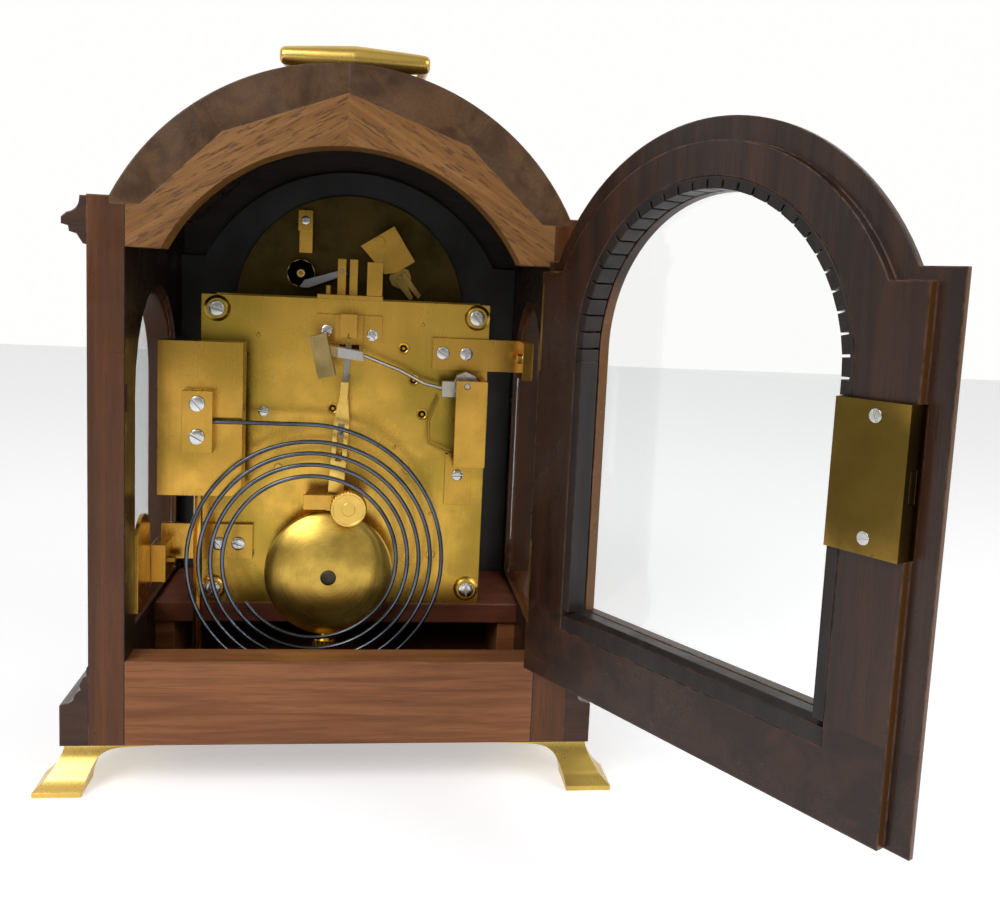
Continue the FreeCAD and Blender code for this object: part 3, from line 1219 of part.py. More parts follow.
def case_brackets():
    """Two straps from the back plate to lugs on the case sides."""
    back, out = "back_plate_y", "back_plate_y + cock_thick"
    right = [block("BracketPlateRight", "-opening_half + 2", back, "214", "-47.9", out, "231.9"),
             block("BracketLugRight", "-opening_half", back + " - 2", "210.8",
                   "-opening_half + 5.6", out + " + 14", "231.4")]
    stub = rod("BracketStubRight", "-opening_half + 4", "28", "222.6", "2.6", "4.6", "X")
    left = [block("BracketPlateLeft", "49", back, "103.6", "opening_half - 4", out, "123.6"),
            block("BracketLugLeft", "opening_half - 9.6", back, "95",
                  "opening_half - 1.9", out + " + 17", "115.4")]
    rest = rod("BracketStubLeft", "opening_half - 13.6", "26", "105", "2.6", "5", "X")
    wall = slab("BracketWall", "YZ", "opening_half - 2", "opening_half", [
        ("36", "87"), ("64", "87"), ("64", "128"), ("36", "128", "50", "120", 1)])
    return group("CaseBrackets", fuse("BracketRight", *right, stub),
                 fuse("BracketLeft", *left, rest, wall))


def back_cocks():
    """The cock that carries the pallet arbor and the pendulum's chops, and the bracket of
    the holdfast, both screwed to the back of the back plate."""
    back, out = "back_plate_y", "back_plate_y + cock_thick"
    plate = slab("BackCockPlate", "XZ", back, out, [
        ("-19.6", "227.2"), ("-6.2", "227.2"), ("-6.2", "238"), ("3.2", "238"),
        ("3.2", "227.2"), ("16.6", "227.2"), ("16.6", "242.6"), ("-19.6", "242.6")])
    bridge = block("BackCockBridge", "-9.2", out + " + 1.8", "226.6", "6.2",
                   out + " + 4.8", "242.6")
    foot_left = block("BackCockFootLeft", "3.4", out, "227.2", "6.2", out + " + 1.8", "242.6")
    foot_right = block("BackCockFootRight", "-9.2", out, "227.2", "-6.4", out + " + 1.8",
                       "242.6")
    chops = block("Chops", "escape_x - 4.6", out + " + 4.8", "pallet_z + 0.4",
                  "escape_x + 4.6", out + " + 14.6", "243.4")
    slit = block("ChopSlit", "escape_x - 0.3", "bob_y - 2", "pallet_z - 2", "escape_x + 0.3",
                 "34", "pallet_z + 2.4")
    hole = bore("BackCockBore", "escape_x", "back_plate_y", "pallet_z", "pivot_r", "8.5", "Y")
    cock = cut("BackCock", fuse("BackCockWhole", plate, bridge, foot_left, foot_right, chops),
               slit, hole)
    base = block("HoldfastBase", "7.4", back, "132.4", "20.4", back + " + 2", "141.4")
    stalk = block("HoldfastStalk", "16.4", back, "136.4", "20.4", "knob_front - 1", "141.4")
    arm = block("HoldfastArm", "knob_x - 5", "knob_front - 3.4", "136.4", "20.4",
                "knob_front - 1", "144.6")
    hole = bore("HoldfastHole", "knob_x", "knob_front - 5", "knob_z", "2", "6", "Y")
    holdfast = cut("Holdfast", fuse("HoldfastWhole", base, stalk, arm), hole)
    return group("BackCocks", cock, holdfast)


def holdfast_screw():
    """A knurled thumb screw, drawn back so that the rod swings free."""
    count = 30
    corners = []
    x, z, radius = at("knob_x"), at("knob_z"), at("knob_r")
    for k in range(count):
        for reach, step in ((radius - 0.45, 0.0), (radius, 0.5)):
            angle = 2 * math.pi * (k + step) / count
            corners.append(FreeCAD.Vector(x + reach * math.cos(angle), 0,
                                          z + reach * math.sin(angle)))
    front, back = at("knob_front"), at("knob_back")
    disc = flat(corners).extrude(FreeCAD.Vector(0, back - front - 4.2, 0))
    disc.translate(FreeCAD.Vector(0, front + 4.2, 0))
    boss = bar(x, z, radius - 2.6, front, front + 4.6, 16)
    stem = bar(x, z, 2.0, front - 5.2, front + 0.2)
    return formed("HoldfastScrew", disc.fuse([boss, stem]).removeSplitter())


def suspension_bridge():
    """The bar along the top of the back plate, its post, and the two guide blocks."""
    top = "plate_high"
    rail = block("BridgeBar", "-19.4", "back_plate_y - 21", top, "16.6", "back_plate_y",
                top + " + 2.4")
    post = block("BridgePost", "-19", "back_plate_y - 9", top, "-10.4", "back_plate_y - 1.5",
                 "272")
    left = block("GuideLeft", "1.6", "back_plate_y - 21", top, "6.4", "back_plate_y - 17",
                 "273.4")
    right = block("GuideRight", "-5", "back_plate_y - 21", top, "-0.4", "back_plate_y - 17",
                  "273.4")
    stud = rod("BridgeStud", "10.8", "back_plate_y - 5", top, "1.7", "7.4")
    hole = bore("GuideBore", "lever_x", "back_plate_y - 22", "lever_z", "1", "6", "Y")
    return cut("SuspensionBridge", fuse("BridgeWhole", rail, post, left, right, stud), hole)


# ---------------------------------------------------------------- work behind the arch

def arch_cocks():
    """Brass work on the back of the dial's arch: the regulator's cock on one side and the
    tilted strike and silent plate on the other."""
    back = "dial_back"
    left = block("RegulatorBlock", "23.6", back, "290", "32.4", back + " + 8", "302.4")
    arm = block("RegulatorArm", "23.8", back, "277", "31.8", back + " + 5", "290.4")
    tilted = slab("SilentPlate", "XZ", back + " + 9.4", back + " + 11.8", [
        ("-5.4", "282.6"), ("-20.6", "266.2"), ("-27.8", "267.6"), ("-38.6", "274.6"),
        ("-25.4", "295.4")])
    pillar = rod("SilentPillar", "-16.9", back, "285.6", "3", "9.6", "Y")
    head = rod("SilentScrew", "-16.9", back + " + 11.8", "285.6", "3.2", "1.4", "Y")
    return group("ArchCocks", fuse("RegulatorCock", left, arm),
                 fuse("SilentCock", tilted, pillar, head))


def regulation_hand():
    """Its arbor runs through the dial and carries the disc whose pin shifts the lever."""
    pointer = hand("RegulationPointer", "arch_ring_x", "arch_ring_z", "hand_y - 0.6",
                   "17", "3.6", "2.6", "1.0", -30)
    x, z = "arch_ring_x", "arch_ring_z"
    shaft = rod("RegulationArbor", x, "hand_y - 1", z, "1.5", "dial_back - hand_y + 12", "Y")
    disc = rod("RegulationDisc", x, "dial_back + 8.2", z, "8.5", "2.2", "Y")
    return fuse("RegulationHand", pointer, shaft, disc)


def rise_fall_lever():
    """The steel lever that carries the regulator's motion back to the suspension."""
    lever = slab("RiseFallArm", "XZ", "dial_back + 11.4", "dial_back + 13.2", [
        ("30.6", "256.2"), ("27.8", "260.6"), ("3.0", "268.4"), ("2.2", "265.0"),
        ("25.6", "255.8")])
    wire = rod("RiseFallArbor", "lever_x", "dial_back + 12", "lever_z", "1.0",
               "back_plate_y - 17.4 - dial_back - 12", "Y")
    return fuse("RiseFallLever", lever, wire)


def silent_hand():
    """The strike and silent pointer, its arbor, and the two-pronged lever behind."""
    pointer = hand("SilentPointer", "-arch_ring_x", "arch_ring_z", "hand_y - 0.6",
                   "17", "3.6", "2.6", "1.0", 30)
    x, z = "-arch_ring_x", "arch_ring_z"
    shaft = rod("SilentArbor", x, "hand_y - 1", z, "1.5", "dial_back - hand_y + 9.2", "Y")
    lobe = rod("SilentLobe", x, "dial_back + 3", z, "7", "2.4", "Y")
    prong = slab("SilentProngs", "XZ", "dial_back + 5.4", "dial_back + 7", [
        ("-26.6", "262"), ("-32.6", "268.4"), ("-43.2", "254.2"), ("-41.6", "251.6"),
        ("-34.6", "259.4"), ("-38.4", "252.6"), ("-36.4", "250.6")])
    return fuse("SilentHand", pointer, shaft, lobe, prong)


# ---------------------------------------------------------------- pendulum

def hung(piece):
    """The pendulum's pieces are built hanging straight and then swung aside."""
    pivot = vec("escape_x", "0", "pallet_z")
    turn = FreeCAD.Rotation(FreeCAD.Vector(0, 1, 0), -at("swing"))
    piece.Placement = FreeCAD.Placement(FreeCAD.Vector(), turn, pivot) * piece.Placement
    return piece


def pendulum_rod():
    """The suspension spring and its brass ends, the flat slotted rod, and its thread."""
    y0, y1 = "bob_y - 1.6", "bob_y"
    x, z = "escape_x", "pallet_z"
    spring = block("SuspensionSpring", x + " - 0.1", "bob_y - 1.4", z + " - 26", x + " + 0.1",
                   "bob_y + 1.4", z + " + 1.6")
    saddle = block("SuspensionSaddle", x + " - 2.2", "25.9", z + " - 36", x + " + 2.2",
                   "bob_y + 1.6", z + " - 24")
    body = slab("RodStrip", "XZ", y0, y1, [
        (x + " - 2.4", z + " - 32"), (x + " - rod_wide / 2", z + " - 46"),
        (x + " - rod_wide / 2", z + " - bob_drop - bob_r + 6"),
        (x + " + rod_wide / 2", z + " - bob_drop - bob_r + 6"),
        (x + " + rod_wide / 2", z + " - 46"), (x + " + 2.4", z + " - 32")],
        box(x + " - 1.7", z + " - 68", x + " + 1.7", z + " - 47"))
    tail = rod("RodThread", x, "bob_y - 0.8", z + " - bob_drop - bob_r - 8.5", "1.5", "15")
    return hung(fuse("PendulumRod", spring, saddle, body, tail))


def pendulum_bob():
    """A lens of brass sheet over lead, with a flat boss on its back where the rod passes."""
    lens = turned("Lens", [
        ("bob_r * 0.2", "-bob_thick / 2"), ("bob_r * 0.5", "-bob_thick / 2 + 2"),
        ("bob_r * 0.86", "-3.6"), ("bob_r", "-1.2"), ("bob_r", "1.2"),
        ("bob_r * 0.86", "3.6"), ("bob_r * 0.5", "bob_thick / 2 - 2"),
        ("bob_r * 0.2", "bob_thick / 2")], 32)
    place(lens, "escape_x", "bob_y", "pallet_z - bob_drop", "Y")
    slot = block("BobSlot", "escape_x - rod_wide / 2 - 0.1", "bob_y - 1.7",
                 "pallet_z - bob_drop - bob_r - 1", "escape_x + rod_wide / 2 + 0.1",
                 "bob_y + 0.1", "pallet_z - bob_drop + bob_r + 1")
    hole = rod("BobBore", "escape_x", "bob_y - 0.8", "pallet_z - bob_drop - bob_r - 1", "1.6",
               "8")
    return hung(cut("PendulumBob", lens, slot, hole))


def rating_nut():
    """A milled nut on the rod's thread under the bob."""
    count = 20
    x, z = at("escape_x"), at("pallet_z - bob_drop - bob_r") - 6.6
    corners = []
    for k in range(count):
        for reach, step in ((at("nut_r") - 0.4, 0.0), (at("nut_r"), 0.5)):
            angle = 2 * math.pi * (k + step) / count
            corners.append(FreeCAD.Vector(x + reach * math.cos(angle),
                                          at("bob_y - 0.8") + reach * math.sin(angle), z))
    disc = flat(corners).extrude(FreeCAD.Vector(0, 0, 4.4))
    whole = disc
    for radius, low, tall in ((3.4, z, 6.2), (1.59, z - 1.0, 8.0)):
        round_bar = flat(ring_of(radius, low, 12)).extrude(FreeCAD.Vector(0, 0, tall))
        round_bar.translate(FreeCAD.Vector(x, at("bob_y - 0.8"), 0))
        whole = whole.fuse(round_bar) if tall < 7 else whole.cut(round_bar)
    return hung(formed("RatingNut", whole.removeSplitter()))


# ---------------------------------------------------------------- gong and hammer

def gong_block():
    """The heavy block on its post from the case floor, and the clamp on the gong's end."""
    body = block("GongBlock", "block_right", "block_front", "block_low", "block_left",
                 "block_back", "block_high")
    clamp = block("GongClamp", "clamp_x - clamp_wide / 2", "block_back", "clamp_low",
                  "clamp_x + clamp_wide / 2", "clamp_back", "clamp_high")
    post = rod("GongPost", "gong_post_x", "block_back - 5", "foot_top + board",
               "gong_post_r", "block_low - foot_top - board")
    collar = rod("GongPostCollar", "gong_post_x", "block_back - 5", "foot_top + board",
                 "gong_post_r + 3", "2.4")
    room, top = "(gong_side / 2 + 0.05)", "gong_mid_z + gong_first"
    hole = block("GongBore", "clamp_x - clamp_wide", "gong_y - " + room, top + " - " + room,
                 "gong_lead_x + 0.05", "gong_y + " + room, top + " + " + room)
    return fuse("GongStand", body, cut("BoredClamp", clamp, hole), post, collar)


GONG_CHORDS = 8


def gong_line():
    """The gong's line: a straight lead out of its clamp that becomes a flat spiral of
    quarter turns, each a step tighter than the last, and a short free end.  A quarter
    turn is set out in even chords whose middles touch its curve."""
    radii = [at("gong_first")] + [at("gong_r") - at("gong_step") * k for k in range(18)]
    sweeps = [90.0] * (len(radii) - 1) + [at("gong_tail")]
    middle = FreeCAD.Vector(at("gong_right") + radii[0], at("gong_y"), at("gong_mid_z"))
    end = middle + FreeCAD.Vector(0, 0, radii[0])
    line = [FreeCAD.Vector(at("gong_lead_x"), end.y, end.z), end]
    heading = 90.0

    def way(angle):
        return FreeCAD.Vector(math.cos(math.radians(angle)), 0, math.sin(math.radians(angle)))
    for radius, sweep in zip(radii, sweeps):
        middle = end + (middle - end).normalize() * radius
        corner_r = radius / math.cos(math.radians(sweep / GONG_CHORDS / 2))
        for step in range(1, GONG_CHORDS + 1):
            line.append(middle + way(heading + sweep * step / GONG_CHORDS) * corner_r)
        heading += sweep
        end = middle + way(heading) * radius
    return line + [line[-1] + way(heading + 90.0) * at("gong_wire")]


def square_wire(line, side):
    """A square wire along chords in one plane: both edges of the line are set off by half
    the side and mitred where two chords meet, and the band between them is extruded."""
    edges = [], []
    for k, point in enumerate(line):
        before, after = line[max(k, 1) - 1], line[min(k + 1, len(line) - 1)]
        back_way = (line[max(k, 1)] - before).normalize()
        on_way = (after - line[min(k, len(line) - 2)]).normalize()
        across = (back_way + on_way).normalize().cross(FreeCAD.Vector(0, 1, 0))
        reach = side / 2.0 / across.dot(on_way.cross(FreeCAD.Vector(0, 1, 0)))
        edges[0].append(point + across * reach)
        edges[1].append(point - across * reach)
    band = flat(edges[0] + edges[1][::-1]).extrude(FreeCAD.Vector(0, side, 0))
    band.translate(FreeCAD.Vector(0, -side / 2.0, 0))
    return band


def gong_coil():
    """The gong is one steel wire, wound to a flat spiral and hardened."""
    line = gong_line()
    solid = square_wire(line, at("gong_side"))
    report_gong(Part.makePolygon(line), solid)
    return formed("GongCoil", solid)


def report_gong(path, solid):
    """Print the wire's length, its volume against section times length, and the least gap
    between its turns, measured on points along it."""
    section = at("gong_side") ** 2
    points = path.discretize(Distance=2.0)
    least = 1e9
    for k, a in enumerate(points):
        for b in points[k + 20:]:
            least = min(least, a.distanceToPoint(b))
    print("gong: length %.1f, volume ratio %.4f, least gap %.2f" % (
        path.Length, solid.Volume / (section * path.Length), least - at("gong_wire")))


def hammer():
    """The hub on its arbor, the wire arm with its stiff outer end, and the tilted head."""
    x, z = "hammer_x", "hammer_z"
    hub = rod("HammerHub", x, "back_plate_y + 12.4", z, "hammer_hub_r", "6.2", "Y")
    front = BACK - 27.8
    shaft = staff(at(x), at(z), (1.6, front, at("gong_y - 1.2")))
    tail = Part.makeBox(12.0, 2.8, 2.0, FreeCAD.Vector(at(x), front - 0.6, at(z) - 1.0))
    tail.rotate(vec(x, "0", z), FreeCAD.Vector(0, 1, 0), 25)
    bend = [vec(x + " + 6", "back_plate_y + 15.8", z + " - 1"),
            vec(x + " + 12", "back_plate_y + 15.8", z + " - 2.6"),
            vec("-43.3", "back_plate_y + 16.6", "207.4"),
            vec("-29.6", "back_plate_y + 19", "214.4"),
            vec("-7.5", "back_plate_y + 22.6", "222.8")]
    carrier = Part.makeBox(8.0, 4.8, 8.6, vec(x + " + 5", "back_plate_y + 13.4", z + " - 7"))
    wire = formed("HammerWire", shaft.fuse([tail, carrier, wire_of(bend, 1.0)]))
    stiff = slab("HammerStiffArm", "XZ", "back_plate_y + 20.4", "gong_y + 1.6", [
        ("-10.4", "219.4"), ("-9.4", "224.4"), ("head_x - 3", "227.2"),
        ("head_x - 3", "221.6")])
    head = doc.addObject("Part::Box", "HammerHead")
    head.setExpression("Length", ref("head_wide"))
    head.setExpression("Width", ref("head_deep"))
    head.setExpression("Height", ref("head_tall"))
    corner = FreeCAD.Vector(-at("head_wide") / 2, -at("head_deep") / 2, -at("head_tall") / 2)
    turn = FreeCAD.Rotation(FreeCAD.Vector(0, 1, 0), at("head_tilt"))
    middle = vec("head_x", "gong_y", "head_z")
    head.Placement = FreeCAD.Placement(middle + turn.multVec(corner), turn)
    return fuse("Hammer", hub, wire, stiff, head)


def hammer_cock():
    """The bracket that carries the hammer's arbor, and the spring and its plate."""
    back = "back_plate_y"
    front = slab("HammerCockFace", "XZ", "gong_y - 3", "gong_y - 0.6",
                 box("-74", "163.2", "-60", "210.4"))
    leg = block("HammerCockLeg", "-77", back, "163.2", "-74", "gong_y - 0.6", "210.4")
    foot = block("HammerCockFoot", "-72.4", back, "137", "-57.4", back + " + 2.2", "166.2")
    shelf = block("HammerCockShelf", "-77", back, "163.2", "-60", "gong_y - 0.6", "166.2")
    bend = [vec("-63.5", back + " + 8", "166"), vec("-47", back + " + 8", "173"),
            vec("-46.8", back + " + 8", "186"), vec("-52", back + " + 8", "199")]
    spring = formed("HammerSpring", wire_of(bend, 0.6))
    hole = bore("HammerCockBore", "hammer_x", "gong_y - 4", "hammer_z", "1.6", "5", "Y")
    whole = fuse("HammerCockWhole", front, leg, foot, shelf, spring)
    return cut("HammerCock", whole, hole)


# ---------------------------------------------------------------- the whole clock

node("side_panel_left", side_panel("Left"))
node("side_panel_right", side_panel("Right"))
node("roof_staves", roof_with_sockets(roof_staves()))
node("rear_arch_frame", arch_frame("RearArchFrame", "case_back - frame_thick", "case_back"))
node("front_arch_frame", arch_frame("FrontArchFrame", "-case_back",
                                    "-case_back + frame_thick"))
node("carcass_boards", carcass_boards())
node("case_mouldings", mouldings())
node("side_window_panes", window_panes())
node("feet", feet())
node("seat_board", block("SeatBoard", "-opening_half", "seat_front", "seat_top - seat_thick",
                         "opening_half", "seat_back", "seat_top"))
node("handle_posts", handle_posts())
node("carrying_handle", carrying_handle())
node("case_hinge_leaves", group("CaseHingeLeaves", case_leaves("BackCaseButts"),
                                faced_about(case_leaves("FrontCaseButts"))))
node("back_door_frame", swung(door_frame("BackDoorFrame", "back")))
node("back_door_glass", swung(door_glass("BackDoorGlass", "back")))
node("back_door_beads", swung(glazing_beads("back")))
node("back_door_hinge_leaves", swung(door_leaves("BackDoorButts")))
node("lock_case", swung(lock_case()))
node("lock_bolt", swung(lock_bolt()))
node("front_door_frame", faced_about(door_frame("FrontDoorFrame", "front")))
node("front_door_glass", faced_about(door_glass("FrontDoorGlass", "front")))
node("front_door_hinge_leaves", faced_about(door_leaves("FrontDoorButts")))
node("dial_mask", dial_mask())
node("dial_plate", dial_plate())
node("silvered_rings", silvered_rings())
node("hour_hand", hand("HourHand", "0", "dial_mid_z", "hand_y - 1", "44", "8", "6.2", "3.6",
                       305))
node("minute_hand", hand("MinuteHand", "0", "dial_mid_z", "hand_y - 3.2", "66", "5", "4.4",
                         "1.9", 60))
node("regulation_hand", regulation_hand())
node("rise_fall_lever", rise_fall_lever())
node("silent_hand", silent_hand())
node("arch_cocks", arch_cocks())
node("back_plate", movement_plate("BackPlate", "back_plate_y - plate_thick", True))
node("front_plate", movement_plate("FrontPlate", "front_plate_y - plate_thick", False))
node("plate_pillars", plate_pillars())
node("movement_screws", movement_screws())
node("case_brackets", case_brackets())
node("back_cocks", back_cocks())
node("holdfast_screw", holdfast_screw())
node("suspension_bridge", suspension_bridge())
build_trains()
node("pendulum_rod", pendulum_rod())
node("pendulum_bob", pendulum_bob())
node("rating_nut", rating_nut())
node("gong_block", gong_block())
node("gong_coil", gong_coil())
node("hammer", hammer())
node("hammer_cock", hammer_cock())

doc.recompute()
for piece in doc.Objects:
    if "Invalid" in piece.State or "Error" in piece.State:
        raise RuntimeError("%s did not recompute: %s" % (piece.Name, piece.State))
for name, piece in nodes.items():
    if piece.Shape.isNull() or not piece.Shape.isValid() or not piece.Shape.Solids:
        raise RuntimeError("%s has no valid solid" % name)

os.makedirs("parts", exist_ok=True)
for name, piece in nodes.items():
    piece.Shape.exportStep("parts/%s.step" % name)
print("%d pieces written" % len(nodes))
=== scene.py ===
import math

import bmesh
import bpy
import numpy as np
from mathutils import Matrix, Vector


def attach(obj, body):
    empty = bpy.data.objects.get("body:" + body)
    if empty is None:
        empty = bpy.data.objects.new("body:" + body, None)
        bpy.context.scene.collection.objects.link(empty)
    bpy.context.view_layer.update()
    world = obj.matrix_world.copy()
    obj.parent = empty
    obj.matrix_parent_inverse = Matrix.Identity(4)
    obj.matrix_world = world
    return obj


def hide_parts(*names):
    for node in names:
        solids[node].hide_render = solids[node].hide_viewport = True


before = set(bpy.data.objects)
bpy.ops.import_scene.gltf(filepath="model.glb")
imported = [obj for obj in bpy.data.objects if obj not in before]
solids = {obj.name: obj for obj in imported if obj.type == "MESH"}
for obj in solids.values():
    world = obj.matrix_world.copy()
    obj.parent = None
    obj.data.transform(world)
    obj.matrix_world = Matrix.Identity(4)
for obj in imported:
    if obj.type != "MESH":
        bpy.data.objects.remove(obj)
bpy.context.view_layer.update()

MM = 0.001

# ------------------------------------------------------------------ the table and the lights
# The clock stands on a plain pale table in front of a white wall.  Two broad soft lamps and
# the pale room light it evenly, and the camera stands where the photograph was taken from.

scene = bpy.context.scene
scene.view_settings.view_transform = "Standard"


def soft_lamp(name, place, aim, size, watts):
    """A square lamp whose face points at aim."""
    lamp = bpy.data.lights.new(name, "AREA")
    lamp.shape, lamp.size, lamp.energy = "SQUARE", size, watts
    holder = bpy.data.objects.new(name, lamp)
    holder.location = place
    look = Vector(aim) - Vector(place)
    holder.rotation_euler = look.to_track_quat("-Z", "Y").to_euler()
    scene.collection.objects.link(holder)


soft_lamp("lamp_over_left", (0.75, 1.05, 1.05), (0.0, 0.0, 0.16), 0.8, 15.0)
soft_lamp("lamp_over_right", (-1.1, 0.75, 0.95), (0.0, 0.05, 0.16), 0.8, 8.0)


class Bench:
    """The nodes of one material or group, joined by short calls."""

    def __init__(self, tree):
        self.tree = tree

    def put(self, socket, value):
        """Link a socket's value, or set a plain one; a colour gets its alpha."""
        if isinstance(value, bpy.types.NodeSocket):
            self.tree.links.new(value, socket)
        elif isinstance(value, (tuple, list)) and len(value) == 3 and socket.type == "RGBA":
            socket.default_value = (*value, 1.0)
        else:
            socket.default_value = value

    def math(self, kind, *values, clamp=False):
        node = self.tree.nodes.new("ShaderNodeMath")
        node.operation, node.use_clamp = kind, clamp
        for k, value in enumerate(values):
            self.put(node.inputs[k], value)
        return node.outputs[0]

    def vector(self, kind, *values):
        node = self.tree.nodes.new("ShaderNodeVectorMath")
        node.operation = kind
        for k, value in enumerate(values):
            self.put(node.inputs[k], value)
        return node.outputs["Value"] if kind == "DOT_PRODUCT" else node.outputs[0]

    def noise(self, vector, scale, detail=4.0, rough=0.55, bend=0.0):
        node = self.tree.nodes.new("ShaderNodeTexNoise")
        self.put(node.inputs["Vector"], vector)
        for label, value in (("Scale", scale), ("Detail", detail), ("Roughness", rough),
                             ("Distortion", bend)):
            self.put(node.inputs[label], value)
        return node.outputs["Fac"]

    def spread(self, value, low, high, to_low=0.0, to_high=1.0, kind="SMOOTHSTEP"):
        """The value carried from low and high to to_low and to_high, and held there."""
        node = self.tree.nodes.new("ShaderNodeMapRange")
        node.interpolation_type = kind
        for k, item in enumerate((value, low, high, to_low, to_high)):
            self.put(node.inputs[k], item)
        return node.outputs[0]

    def mix(self, share, first, second):
        """A colour between two colours."""
        node = self.tree.nodes.new("ShaderNodeMix")
        node.data_type = "RGBA"
        self.put(node.inputs["Factor"], share)
        self.put(node.inputs[6], first)
        self.put(node.inputs[7], second)
        return node.outputs[2]

    def blend(self, share, first, second):
        """A number between two numbers."""
        node = self.tree.nodes.new("ShaderNodeMix")
        for k, value in enumerate((share, None, first, second)):
            if value is not None:
                self.put(node.inputs[k], value)
        return node.outputs[0]

    def axes(self, vector):
        node = self.tree.nodes.new("ShaderNodeSeparateXYZ")
        self.put(node.inputs[0], vector)
        return node.outputs

    def joined(self, *values):
        node = self.tree.nodes.new("ShaderNodeCombineXYZ")
        for k, value in enumerate(values):
            self.put(node.inputs[k], value)
        return node.outputs[0]

    def turned(self, vector, turn):
        node = self.tree.nodes.new("ShaderNodeMapping")
        node.inputs["Rotation"].default_value = turn
        self.put(node.inputs["Vector"], vector)
        return node.outputs[0]

    def rays(self, *kinds):
        """One where the ray is of any of the named kinds, nought elsewhere."""
        path = self.tree.nodes.new("ShaderNodeLightPath")
        share = path.outputs[kinds[0]]
        for kind in kinds[1:]:
            share = self.math("MAXIMUM", share, path.outputs[kind])
        return share

    def use(self, group, **values):
        node = self.tree.nodes.new("ShaderNodeGroup")
        node.node_tree = group
        for label, value in values.items():
            self.put(node.inputs[label.replace("_", " ")], value)
        return node.outputs


# The wall behind the clock is white.  Metal reflects that wall, and on the camera's side a
# room of soft brighter and darker patches.  Other surfaces are lit by an even pale room.
room = bpy.data.worlds.new("pale_room")
room.use_nodes = True
room_bench = Bench(room.node_tree)
room_light = room.node_tree.nodes["Background"]
room_place = room.node_tree.nodes.new("ShaderNodeTexCoord").outputs["Generated"]
patch_level = room_bench.spread(room_bench.noise(room_place, 3.2, 1.0, 0.5), 0.40, 0.62,
                                0.14, 0.85)
wall_side = room_bench.spread(room_bench.axes(room_place)["Y"], 0.1, -0.2, kind="LINEAR")
mirrored_room = room_bench.blend(wall_side, patch_level, 1.0)
other_rays = room_bench.blend(room_bench.rays("Is Glossy Ray"), 0.30, mirrored_room)
seen_room = room_bench.blend(room_bench.rays("Is Camera Ray", "Is Transmission Ray"),
                             other_rays, 1.0)
room_bench.put(room_light.inputs["Strength"], seen_room)
room_light.inputs["Color"].default_value = (1.0, 0.995, 0.985, 1.0)
scene.world = room

# The table gives off a little light of its own, so that it is as pale as the wall.
table_mesh = bpy.data.meshes.new("table_top")
table_mesh.from_pydata([(-3, -3, 0), (3, -3, 0), (3, 3, 0), (-3, 3, 0)], [], [(0, 1, 2, 3)])
table = bpy.data.objects.new("table_top", table_mesh)
scene.collection.objects.link(table)
table_paint = bpy.data.materials.new("table_paint")
table_paint.use_nodes = True
table_shader = table_paint.node_tree.nodes["Principled BSDF"]
table_shader.inputs["Base Color"].default_value = (0.84, 0.84, 0.86, 1)
table_shader.inputs["Roughness"].default_value = 0.6
table_shader.inputs["Emission Color"].default_value = (1, 1, 1, 1)
table_bench = Bench(table_paint.node_tree)
table_rays = table_bench.rays("Is Camera Ray", "Is Glossy Ray", "Is Transmission Ray")
table_bench.put(table_shader.inputs["Emission Strength"],
                table_bench.math("MULTIPLY", table_rays, 0.45))
table_mesh.materials.append(table_paint)

camera_data = bpy.data.cameras.new("camera")
camera_data.sensor_width, camera_data.lens = 36.0, 37.003
camera_data.shift_x, camera_data.shift_y = 0.00128, -0.0437
camera = bpy.data.objects.new("camera", camera_data)
axis_right = (-0.99215276, 0.11662215, 0.04507954)
axis_up = (0.03010735, -0.1270965, 0.99143332)
axis_back = (0.12135254, 0.98501053, 0.12258796)
stand_point = (-0.015874, 0.591658, 0.261469)
camera.matrix_world = Matrix((*zip(axis_right, axis_up, axis_back, stand_point),
                              (0, 0, 0, 1)))
scene.collection.objects.link(camera)
scene.camera = camera

# ------------------------------------------------------------------ the wooden case
# Solid mahogany sides and staves, French polished, round a carcass of straighter grained
# boards.  The back of the arch is faced in a paler, open-grained timber, rubbed and waxed.


def finish_group(name, inputs, outputs):
    """An empty shader node group with named sockets; a float, a colour or a vector each."""
    kinds = {"f": "NodeSocketFloat", "c": "NodeSocketColor", "v": "NodeSocketVector"}
    group = bpy.data.node_groups.new(name, "ShaderNodeTree")
    for way, sockets in (("INPUT", inputs), ("OUTPUT", outputs)):
        for label, kind in sockets:
            group.interface.new_socket(label, in_out=way, socket_type=kinds[kind])
    return group, group.nodes.new("NodeGroupInput"), group.nodes.new("NodeGroupOutput")


# Wood grain runs along the third axis of the vector that it is given: long soft bands, fine
# pores drawn out along the grain, and slow patches of darker and lighter stain.
wood_grain, grain_in, grain_out = finish_group(
    "wood_grain", [("Vector", "v"), ("Pale", "c"), ("Dark", "c"), ("Figure", "f")],
    [("Colour", "c"), ("Height", "f"), ("Patch", "f")])
grain = Bench(wood_grain)
along = grain.vector("MULTIPLY", grain_in.outputs["Vector"], (1.0, 1.0, 0.05))
bands = grain.noise(along, grain_in.outputs["Figure"], 7.0, 0.6, 0.6)
pore_line = grain.vector("MULTIPLY", grain_in.outputs["Vector"], (1.0, 1.0, 0.03))
pores = grain.spread(grain.noise(pore_line, 1300.0, 2.0, 0.5), 0.55, 0.66)
patch = grain.noise(grain_in.outputs["Vector"], 22.0, 3.0)
shade = grain.math("ADD", grain.spread(bands, 0.3, 0.7),
                   grain.math("MULTIPLY", grain.math("SUBTRACT", patch, 0.5), 0.4), clamp=True)
banded = grain.mix(shade, grain_in.outputs["Dark"], grain_in.outputs["Pale"])
pored = grain.mix(grain.math("MULTIPLY", pores, 0.55), banded, grain_in.outputs["Dark"])
grain.put(grain_out.inputs["Colour"], pored)
